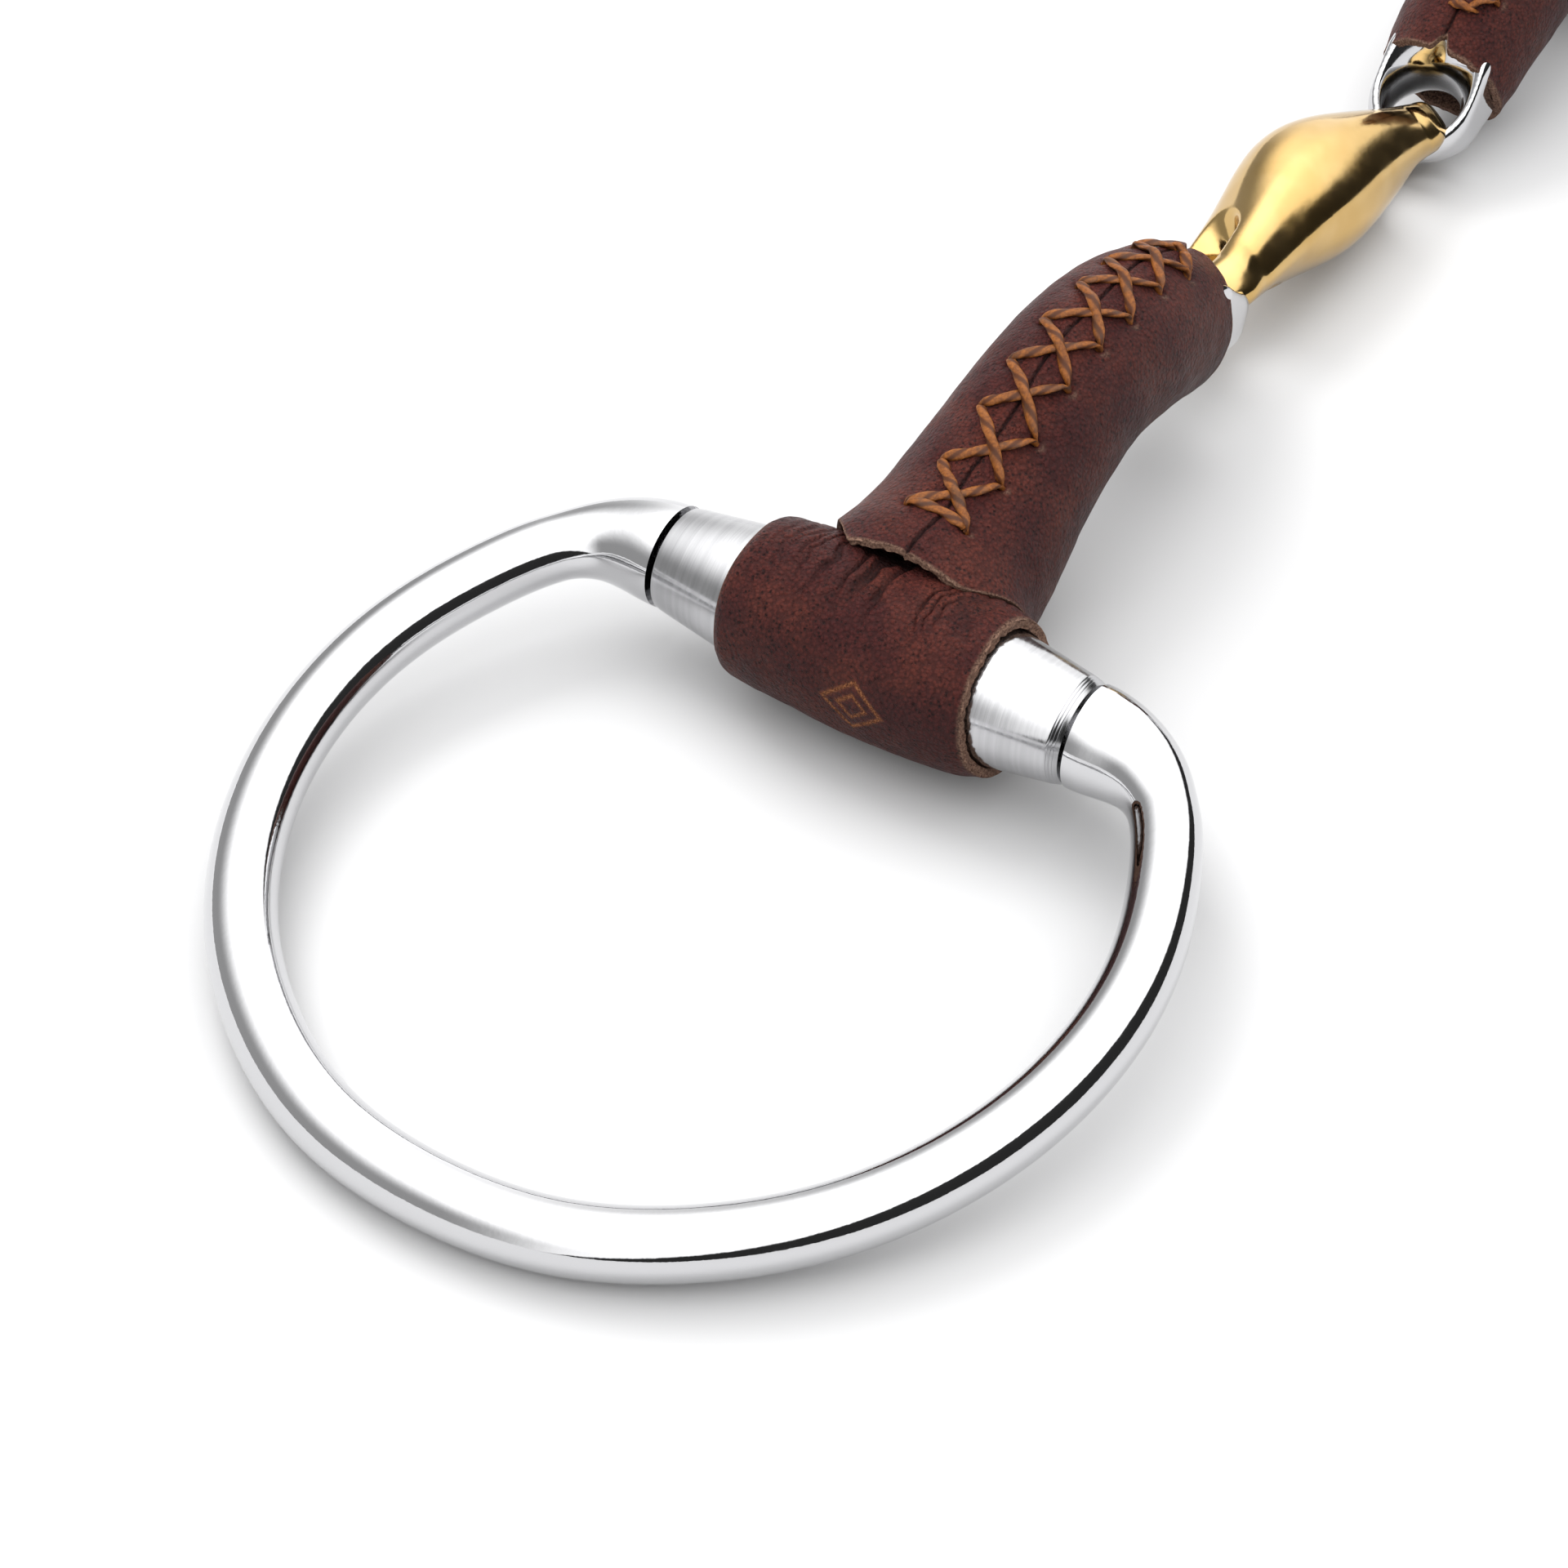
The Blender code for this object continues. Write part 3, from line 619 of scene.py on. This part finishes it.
def arm_casting(half, steel, eye_steel):
    """The cannon under the leather and the eye at its end, one smooth body."""
    end = np.array([ARM_LINE[-1][0], float(arm_frame(ARM_LINE[-1][0])[0])])
    lean = np.array([PIN_U, PIN_Z]) - end
    lean /= np.linalg.norm(lean)
    hub = np.array([PIN_U, PIN_Z]) - lean * EYE_R
    points, faces = isosurface(eye_field, (-9.0, -6.0, -5.2), (6.0, 6.0, 5.2), 0.22)
    up = np.array([-lean[1], lean[0]])
    placed = np.stack([hub[0] + points[:, 0] * lean[0] + points[:, 2] * up[0], points[:, 1],
                       hub[1] + points[:, 0] * lean[1] + points[:, 2] * up[1]], axis=-1)
    world = half.arm(placed)
    if half.sign < 0:
        faces = [f[::-1] for f in faces]
    ob = new_object("eye_%s" % half.word, world, faces, eye_steel, 50.0)
    # mask of the hole's wall, where the eye's material paints shade
    tag(ob, "bore", smooth((EYE_R - 0.35 - np.hypot(points[:, 0], points[:, 1])) / 0.6))
    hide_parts("mouthpiece_arm_" + half.word)
    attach(ob, half.word + "_arm")
    spread, thickness = (3.0, 8.0, 42.0), (4.0, 5.2, 4.2)
    u = np.linspace(spread[0], spread[-1], 40)
    z, tu, tz = arm_frame(u)
    turn = 2.0 * math.pi * np.arange(40) / 40
    r = np.interp(u, spread, thickness)
    rings = np.stack([u[:, None] - tz[:, None] * r[:, None] * np.cos(turn),
                      r[:, None] * np.sin(turn) + 0.0 * u[:, None],
                      z[:, None] + tu[:, None] * r[:, None] * np.cos(turn)], axis=-1)
    core = tube("cannon_%s" % half.word, half.arm(rings), steel)
    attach(core, half.word + "_arm")


def lozenge(brass):
    """Centre link: an almond with a twist, cut back to a flat tab with a hole at each end."""
    left, right = Half("left").pin, Half("right").pin
    middle = (left + right) / 2.0
    along = (right - left) / np.linalg.norm(right - left)
    level = np.cross([0.0, 0.0, 1.0], along)
    level /= np.linalg.norm(level)
    plumb = np.cross(along, level)
    axes = np.array([along, level, plumb])
    reach = np.linalg.norm(right - left) / 2.0

    def field(p):
        x = p[:, 0]
        hump = np.clip(1.0 - (x / reach) ** 2, 0.0, 1.0)
        above = (middle + p @ axes)[:, 2]
        side = p[:, 1] - 0.3 - 0.6 * hump
        rise = p[:, 2] - 0.6 - 1.8 * hump
        roll = np.radians(LINK_ROLL + LINK_TWIST * smooth((4.0 - x) / 20.0))
        t = side * np.cos(roll) + rise * np.sin(roll)
        d = rise * np.cos(roll) - side * np.sin(roll)
        fat, deep = rows(LINK_FAT, x, 3.5), rows(LINK_DEEP, x, 3.5)
        heel = 0.45 * bump(x, -13.0, 7.0)
        t, fat = t + heel, fat + heel
        power = 2.2 + 0.5 * smooth((-x - 1.0) / 12.0)
        body = ((np.abs(t) / fat) ** power + (np.abs(d) / deep) ** power) ** (1 / power) - 1.0
        body = smooth_max(body * np.minimum(fat, deep), np.abs(x) - 18.0, 3.0)
        tab = np.hypot(np.maximum(np.abs(x) - reach, -2.0), d) - LINK_TAB_R
        tab = smooth_max(tab, np.abs(t - heel) - LINK_TAB_HALF, 1.3)
        whole = smooth_min(body, tab, 3.0)
        past = np.abs(x) - reach
        hole = np.hypot(past - np.clip(past, -LINK_SLOT, 0.0), d) - (LINK_HOLE_R + 0.05 * t * t)
        clear_of_table = 0.15 - above
        return smooth_max(smooth_max(whole, -hole, 0.45), clear_of_table, 0.6)

    points, faces = isosurface(field, (-21.9, -8.0, -7.0), (21.9, 9.0, 10.5), 0.28)
    world = middle + points @ axes
    ob = new_object("lozenge_polished", world, faces, brass, 50.0)
    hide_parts("lozenge")
    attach(ob, "center_link")


# ---------------------------------------------------------------- leather

def barrel_wrap(half, leather):
    """Leather tube pulled round the barrel: tucked at one end, cut raw and aslant at the other."""
    turns, length = 336, 210
    angle = 2.0 * math.pi * np.arange(turns) / turns
    lower = 0.5 - 0.5 * np.cos(angle - 0.2)
    cut = WRAP_END_B + 1.2 - 1.75 * lower + 0.10 * noise(around(angle, 0.0), 2.4, 5)
    tuck = WRAP_END_A + 0.12 * noise(around(angle, 40.0), 4.0, 6)
    t = np.linspace(0.0, 1.0, length)
    grid_y = cut[None, :] + (tuck - cut)[None, :] * t[:, None]
    grid_a = np.broadcast_to(angle, grid_y.shape)
    radius, crease_shade = wrap_radius(grid_a, grid_y, tuck)
    raw = smooth(1.0 - (grid_y - cut[None, :]) / 0.35)
    raw = np.maximum(raw, 0.55 * smooth(1.0 - (tuck[None, :] - grid_y) / 0.25))
    layers_y, layers_r, layers_raw = [grid_y], [radius], [raw]
    for depth in (0.15, 0.3, 0.45):
        layers_y.append(tuck[None, :] - 0.10 * depth + 0.0 * angle)
        layers_r.append((radius[-1] - depth)[None, :])
        layers_raw.append(np.full((1, turns), 0.8))
    layers_y.append(np.stack([tuck - 2.0, 0.0 * angle, cut + 2.0]))
    layers_r.append(np.full((3, turns), WRAP_BORE_R))
    layers_raw.append(np.full((3, turns), 0.8))
    for step, depth in enumerate((0.78, 0.62, 0.46, 0.30, 0.16, 0.05)):
        fuzz = noise(around(angle, 9.0 * step), 0.5, 11) * 0.14
        layers_y.append((cut - 0.05 + fuzz)[None, :])
        layers_r.append((radius[0] - depth)[None, :])
        layers_raw.append(np.full((1, turns), 1.0))
    grid_y, radius, raw = (np.vstack(k) for k in (layers_y, layers_r, layers_raw))
    rings = half.round_barrel(np.broadcast_to(angle, grid_y.shape), radius, grid_y)
    ob = tube("barrel_wrap_%s_leather" % half.word, rings, leather, closed=True, sharp=60.0)
    tag(ob, "raw", raw)
    tag(ob, "crease_shade", np.vstack([crease_shade, np.zeros((len(raw) - len(crease_shade), turns))]))
    tag(ob, "mark", stamp(grid_y, np.broadcast_to(angle, grid_y.shape)))
    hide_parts("barrel_wrap_" + half.word)
    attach(ob, half.word + "_arm")


def around(angle, shift):
    """Points on a circle of the wrap's size, for noise that closes on itself."""
    return np.stack([WRAP_R * np.cos(angle), WRAP_R * np.sin(angle), shift + 0.0 * angle], axis=-1)


def wrapped(angle):
    """The same angle, between -pi and pi."""
    return np.where(angle > math.pi, angle - 2.0 * math.pi, angle)


def wrap_radius(angle, y, tuck):
    """Outer radius of the wrap, with its bulge, rolled ends and the pull lines below the sleeve, and a
    mask of those pull lines that the leather paints as shade.
    """
    place = np.stack([WRAP_R * np.cos(angle), WRAP_R * np.sin(angle), y], axis=-1)
    radius = WRAP_LIP_R + WRAP_SWELL * (1.0 - np.abs(y / 11.9) ** 2.6) + 0.09 * noise(place, 5.0, 1)
    rolled = smooth(1.0 - (tuck[None, :] - y) / 1.3)
    radius = radius - 0.55 * (1.0 - np.sqrt(1.0 - 0.98 * rolled ** 2))
    radius = radius - 0.26 * smooth(1.0 - (y - WRAP_END_B) / 1.8)
    # pull lines: narrow creases running round the barrel, strongest under the sleeve's edge
    wander = 0.8 * noise(place, 3.5, 2) + 0.25 * noise(place, 1.0, 12)
    across = np.stack([0.12 * place[..., 0], 0.12 * place[..., 1], y + wander], axis=-1)
    crease = bump(noise(across, 0.85, 3), 0.0, 0.26)
    reach = 0.75 + 0.35 * noise(np.stack([0.0 * y, 0.0 * y, y], axis=-1), 1.7, 13)
    strength = smooth(1.0 - wrapped(angle) / reach) * smooth((wrapped(angle) + 1.2) / 0.5)
    strength = strength * bump(y, -0.5, 7.5)
    folds = noise(across, 0.8, 14)
    radius = radius - strength * (0.42 * crease + 0.18 * folds)
    # the second value marks the creases for painted shade
    return radius + 0.018 * noise(place, 0.45, 4), strength * crease


def stamp(y, angle):
    """A plain diamond outline on the outward face."""
    middle_y, middle_a, half_y, half_a = -2.1, 1.53, 2.6, 2.2
    away = WRAP_R * (angle - middle_a)
    diamond = np.abs(y - middle_y) / half_y + np.abs(away) / half_a
    line = smooth(1.0 - np.abs(diamond - 1.0) / 0.17)
    inner = smooth(1.0 - np.abs(diamond - 0.48) / 0.15)
    return np.maximum(line, inner)


def sleeve_surface(u, angle, inset=0.0):
    """Point on the sleeve, inset from its outside; angle from the top, turning to -Y."""
    z, tu, tz = arm_frame(u)
    settle = 0.75 * smooth(1.0 - u / 6.0)
    flare = 2.3 * smooth(1.0 - (u - 1.5) / 9.0) * smooth(angle / 1.3)
    wide = rows(SLEEVE_WIDTH, u) - inset + flare
    high = rows(SLEEVE_HEIGHT, u) - inset - settle
    rise = high * np.cos(angle)
    return np.stack([u - tz * rise, -wide * np.sin(angle), z + tu * rise], axis=-1)


def on_top(u):
    """Section of the arm whose top lies at distance u from the barrel axis."""
    section = np.linspace(0.0, 52.0, 500)
    tz = arm_frame(section)[2]
    return np.interp(u, section - tz * rows(SLEEVE_HEIGHT, section), section)


def stitch_holes():
    """Right and left hole positions (u, y) along the lacing."""
    right, left = [], []
    for k in range(STITCH_CELLS + 1):
        u = STITCH_START + k * STITCH_PITCH
        wobble = 0.25 * math.sin(2.1 * k + 0.4)
        right.append((float(on_top(u + 0.1 + wobble)), STITCH_SHIFT - STITCH_HALF + 0.6 * wobble))
        left.append((float(on_top(u + 0.3 - wobble)), STITCH_SHIFT + STITCH_HALF + 0.5 * wobble))
    return right, left


def seam_y(u):
    """Where the sleeve's butted edges meet, along the barrel."""
    return -1.2 + 0.018 * u + 0.15 * np.sin(0.55 * u)


def arm_sleeve(half, leather):
    """Leather sleeve laced along its top, saddled over the wrap, cut raw at both ends."""
    turns, length, inner_rows = 300, 330, 12
    t = np.linspace(-1.0, 1.0, turns, endpoint=False)
    angle = math.pi * (0.42 * t + 0.58 * t ** 3)
    top_z = rows(SLEEVE_HEIGHT, 2.0) * np.cos(angle)
    saddle = SADDLE_R - 0.75 * smooth(np.sin(angle) / 0.9)
    start = np.sqrt(np.maximum(saddle ** 2 - top_z ** 2, 0.0))
    start = smooth_max(start, 2.0 + 0.5 * np.sin(angle + 0.4) ** 2, 1.4)
    ragged = np.stack([6.0 * np.cos(angle), 6.0 * np.sin(angle), 0.0 * angle], axis=-1)
    start = start + 0.16 * noise(ragged, 2.2, 21) + 0.05 * noise(ragged, 0.6, 22)
    notch = 1.3 * bump(angle, 0.10, 0.10)
    finish = 45.4 - notch + 0.18 * noise(ragged, 2.5, 23) + 0.06 * noise(ragged, 0.6, 24)
    s = np.linspace(0.0, 1.0, length)
    u = start[None, :] + (finish - start)[None, :] * s[:, None]
    a = np.broadcast_to(angle, u.shape)
    outer = sleeve_surface(u, a)
    normal = np.stack([0.0 * a, -np.sin(a), np.cos(a)], axis=-1)
    lift = sleeve_relief(u, outer[..., 1], a, start, finish)
    outer = outer + normal * lift[..., None]
    from_start = u - start[None, :]
    from_end = finish[None, :] - u
    raw = np.maximum(smooth(1.0 - from_start / 0.30), smooth(1.0 - from_end / 0.30))
    raw = np.maximum(raw, hole_tan(u, outer[..., 1], a))
    layers, raws = [outer], [raw]
    for depth in (0.10, 0.32, 0.55, 0.8):
        fuzz = 0.12 * noise(ragged * 3.0 + depth * 20.0, 0.9, 31)
        edge = sleeve_surface(finish + 0.04 + fuzz, angle, depth)
        layers.append((edge + normal[-1] * lift[-1][:, None])[None])
        raws.append(np.ones((1, turns)))
    for k in range(1, inner_rows + 1):
        inner_u = finish + (start - finish) * k / (inner_rows + 1.0)
        skive = LEATHER - 0.6 * smooth(1.0 - (inner_u - start) / 4.0)
        layers.append(sleeve_surface(inner_u, angle, skive)[None])
        raws.append(np.full((1, turns), 0.85))
    for depth in (0.55, 0.4, 0.24, 0.10):
        fuzz = 0.12 * noise(ragged * 3.0 + depth * 20.0, 0.9, 32)
        edge = sleeve_surface(start - 0.04 + fuzz, angle, depth)
        layers.append((edge + normal[0] * lift[0][:, None])[None])
        raws.append(np.ones((1, turns)))
    rings = np.concatenate(layers)
    placed = half.arm(rings)
    placed[..., 2] = np.maximum(placed[..., 2], 0.02)
    ob = tube("arm_sleeve_%s_leather" % half.word, placed, leather, closed=True, sharp=60.0)
    tag(ob, "raw", np.vstack(raws))
    # darker line along the seam groove: painted shade
    shade = bump(outer[..., 1] - seam_y(u), 0.0, 0.16) * (np.cos(a) > 0)
    tag(ob, "crease_shade", np.vstack([shade, np.zeros((len(rings) - length, turns))]))
    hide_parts("arm_sleeve_" + half.word)
    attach(ob, half.word + "_arm")


def sleeve_relief(u, y, angle, start, finish):
    """How far the sleeve's skin stands proud: seam, pulled holes, folds and the lifted lip."""
    place = np.stack([u, 7.0 * np.sin(angle), 7.0 * np.cos(angle)], axis=-1)
    top = smooth(np.cos(angle) / 0.5)
    lift = 0.10 * noise(place, 6.0, 41) + 0.035 * noise(place, 1.3, 42)
    away = (y - seam_y(u)) * np.where(top > 0, 1.0, 99.0)
    lift = lift - 0.22 * top * bump(away, 0.0, 0.13) + 0.07 * top * bump(np.abs(away), 0.45, 0.35)
    puckers = noise(np.stack([u * 1.6, 0.35 * y, 0.0 * u], axis=-1), 0.9, 43)
    lift = lift + 0.08 * top * puckers * bump(away, 0.0, 2.2)
    for side in stitch_holes():
        for hu, hy in side:
            gap = np.hypot(u - hu, y - hy)
            lift = lift - top * (0.40 * np.exp(-(gap / 0.38) ** 2) + 0.16 * np.exp(-(gap / 1.2) ** 2))
    lip = smooth(1.0 - (u - start[None, :]) / 2.0)
    lift = lift + 0.08 * lip * top
    mouth = smooth(1.0 - (finish[None, :] - u) / 2.5)
    lift = lift - 0.25 * mouth
    run = np.stack([u * 0.8 + 0.9 * np.sin(3 * angle), 3.0 * angle, 0.0 * u], axis=-1)
    creases = noise(run, 0.8, 44)
    flank = smooth((np.abs(angle) - 0.7) / 0.6)
    return lift - 0.045 * flank * np.maximum(creases, 0.0) * bump(u, 12.0, 9.0)


def hole_tan(u, y, angle):
    """Raw leather showing as a small crescent outside each right-hand hole."""
    show = np.zeros(u.shape)
    for hu, hy in stitch_holes()[0]:
        gap = np.hypot(u - hu + 0.1, y - hy + 0.38)
        inner = np.hypot(u - hu, y - hy)
        show = np.maximum(show, smooth(1.0 - gap / 0.55) * smooth((inner - 0.30) / 0.2))
    return 0.8 * show * (np.cos(angle) > 0)


def strand(start, end, middle_lift, bow, seed):
    """Two-ply thread from hole to hole: rings of points and the ply number of each point."""
    steps, sides = 46, 18
    t = np.linspace(0.0, 1.0, steps)
    u = start[0] + (end[0] - start[0]) * t
    y = start[1] + (end[1] - start[1]) * t
    run = math.hypot(end[0] - start[0], end[1] - start[1])
    arch = bow * np.sin(math.pi * t)
    u = u + arch * (end[1] - start[1]) / run
    y = y - arch * (end[0] - start[0]) / run
    dive = np.minimum(t, 1.0 - t) * run
    lift = -0.62 + 0.80 * np.sqrt(np.clip(dive / 0.40, 0.0, 1.0)) + middle_lift * bump(t, 0.5, 0.16)
    z, tu, tz = arm_frame(u)
    wide = rows(SLEEVE_WIDTH, u) + lift
    high = rows(SLEEVE_HEIGHT, u) + lift
    rise = high * np.sqrt(np.maximum(0.0, 1.0 - (y / wide) ** 2))
    centre = np.stack([u - tz * rise, y, z + tu * rise], axis=-1)
    ahead = np.gradient(centre, axis=0)
    ahead /= np.linalg.norm(ahead, axis=1)[:, None]
    up = np.stack([-tz, -y / wide ** 2 * high, tu], axis=-1)
    side = np.cross(ahead, up)
    side /= np.linalg.norm(side, axis=1)[:, None]
    up = np.cross(side, ahead)
    theta = 2.0 * math.pi * np.arange(sides) / sides
    twist = 2.0 * math.pi * (t * run / STRAND_LAY) + seed
    lobe = np.cos(2.0 * (theta[None, :] - twist[:, None]))
    size = 1.0 + 0.11 * lobe
    thin = 0.62 + 0.38 * smooth(dive / 1.1)
    across = STRAND_WIDE * (size * np.cos(theta)[None, :]) * thin[:, None]
    tall = STRAND_TALL * (size * np.sin(theta)[None, :]) * thin[:, None]
    rings = centre[:, None, :] + across[..., None] * side[:, None, :]
    return rings + tall[..., None] * up[:, None, :], 0.5 + 0.5 * lobe


def lacing(half, waxed):
    """Crossed stitches, each right-to-left strand over the left-to-right one, and the end knots."""
    right, left = stitch_holes()
    strands = [("bar", strand(left[0], right[0], 0.0, -0.25, 0.3))]
    for k in range(STITCH_CELLS):
        strands.append(("under_%d" % k, strand(left[k], right[k + 1], 0.0, 0.30, 1.1 * k)))
        strands.append(("over_%d" % k, strand(right[k], left[k + 1], 0.42, 0.30, 0.7 * k + 2.0)))
    tail = float(on_top(STITCH_START + STITCH_CELLS * STITCH_PITCH))
    strands.append(("end_a", strand(left[-1], (tail + 2.0, -0.9), 0.1, 0.2, 0.9)))
    strands.append(("end_b", strand(right[-1], (tail + 2.1, -1.3), 0.2, -0.2, 1.9)))
    strands.append(("end_c", strand((tail + 1.7, -2.2), (tail + 1.8, 0.5), 0.25, 0.2, 0.2)))
    first = None
    for name, (rings, ply) in strands:
        ob = tube("lacing_%s_%s" % (half.word, name), half.arm(rings), waxed)
        tag(ob, "ply", ply)
        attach(ob, half.word + "_arm")
        first = first or ob
    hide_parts("sleeve_lacing_" + half.word)


# ---------------------------------------------------------------- studio

def studio_camera(half):
    """Looks down on the left ring from its outer front corner, as a cropped studio shot."""
    right, up = Vector(CAMERA_RIGHT), Vector(CAMERA_UP)
    back = right.cross(up)
    camera = bpy.data.objects.new("camera", bpy.data.cameras.new("camera"))
    camera.data.sensor_width = CAMERA_SENSOR
    camera.data.lens = CAMERA_LENS
    camera.data.shift_x, camera.data.shift_y = CAMERA_SHIFT
    camera.data.clip_start = 0.01
    spot = Vector(half.barrel * MM)
    place = Vector((spot.x, spot.y, 0.0)) + Vector(CAMERA_PLACE)
    camera.matrix_world = Matrix.Translation(place) @ Matrix((right, up, back)).transposed().to_4x4()
    bpy.context.collection.objects.link(camera)
    bpy.context.scene.camera = camera


def studio():
    """Pale table in a bright surround that has one dark and one dimmer side, with a soft key light."""
    floor = bpy.data.meshes.new("floor")
    corners = [(x * FLOOR_HALF, y * FLOOR_HALF, 0) for x, y in ((-1, -1), (1, -1), (1, 1), (-1, 1))]
    floor.from_pydata(corners, [], [(0, 1, 2, 3)])
    floor.materials.append(floor_material())
    table = bpy.data.objects.new("floor", floor)
    table.location.z = -0.00002
    bpy.context.collection.objects.link(table)
    world = bpy.data.worlds.new("studio")
    bpy.context.scene.world = world
    world.use_nodes = True
    nodes, links = world.node_tree.nodes, world.node_tree.links
    coords = nodes.new("ShaderNodeTexCoord")
    lean = world_dot(nodes, links, coords, TENT_AXIS)
    dark_side = world_range(nodes, links, lean, (TENT_EDGE - 0.03, TENT_EDGE + 0.03), (0.02, 1.0))
    height = world_dot(nodes, links, coords, (0.0, 0.0, 1.0))
    glow = world_range(nodes, links, height, (0.25, 0.95), (0.54, 1.0))
    lean = world_dot(nodes, links, coords, SOFT_SIDE)
    soft_side = world_range(nodes, links, lean, (0.05, 0.62), (0.0, 1.0))
    fade = world_range(nodes, links, height, (0.30, 1.05), (0.74, 0.0))
    dimmed = world_math(nodes, links, "MULTIPLY", soft_side, fade)
    kept = world_math(nodes, links, "SUBTRACT", 1.0, dimmed)
    soft = world_math(nodes, links, "MULTIPLY", kept, glow)
    light = world_math(nodes, links, "MULTIPLY", dark_side, soft)
    links.new(light, nodes["Background"].inputs["Color"])
    nodes["Background"].inputs["Strength"].default_value = TENT_LIGHT
    softbox("key", KEY_PLACE, KEY_SIZE, KEY_POWER)
    bpy.context.scene.view_settings.view_transform = "Standard"


def world_dot(nodes, links, coords, axis):
    """How far the looked-at direction leans towards an axis."""
    node = nodes.new("ShaderNodeVectorMath")
    node.operation = "DOT_PRODUCT"
    links.new(coords.outputs["Generated"], node.inputs[0])
    node.inputs[1].default_value = axis
    return node.outputs["Value"]


def world_range(nodes, links, value, source, target):
    """Value eased from the source range on to the target range."""
    node = nodes.new("ShaderNodeMapRange")
    node.interpolation_type = "SMOOTHSTEP"
    links.new(value, node.inputs["Value"])
    for key, number in zip(RANGE_SOCKETS, (*source, *target)):
        node.inputs[key].default_value = number
    return node.outputs["Result"]


def world_math(nodes, links, operation, a, b):
    node = nodes.new("ShaderNodeMath")
    node.operation = operation
    for socket, value in zip(node.inputs, (a, b)):
        if isinstance(value, float):
            socket.default_value = value
        else:
            links.new(value, socket)
    return node.outputs[0]


def softbox(name, place, size, power):
    """Square lamp aimed at the bit, which lights it without showing in the metal."""
    light = bpy.data.lights.new(name, "AREA")
    light.shape = "SQUARE"
    light.size = size
    light.energy = power
    ob = bpy.data.objects.new(name, light)
    ob.location = place
    ob.rotation_euler = (-Vector(place)).to_track_quat("-Z", "Y").to_euler()
    ob.visible_glossy = False
    bpy.context.collection.objects.link(ob)


def build():
    steel, turned, eye_steel = steel_material(), turned_steel_material(), eye_material()
    brass, waxed = brass_material(), thread_material()
    wrap_leather = leather_material("wrap_leather", 0.14)
    sleeve_leather = leather_material("sleeve_leather", 0.05)
    halves = [Half("left"), Half("right")]
    for half in halves:
        cheek_ring(half, steel)
        barrel(half, turned)
        arm_casting(half, steel, eye_steel)
        barrel_wrap(half, wrap_leather)
        arm_sleeve(half, sleeve_leather)
        lacing(half, waxed)
    lozenge(brass)
    studio_camera(halves[0])
    studio()


build()
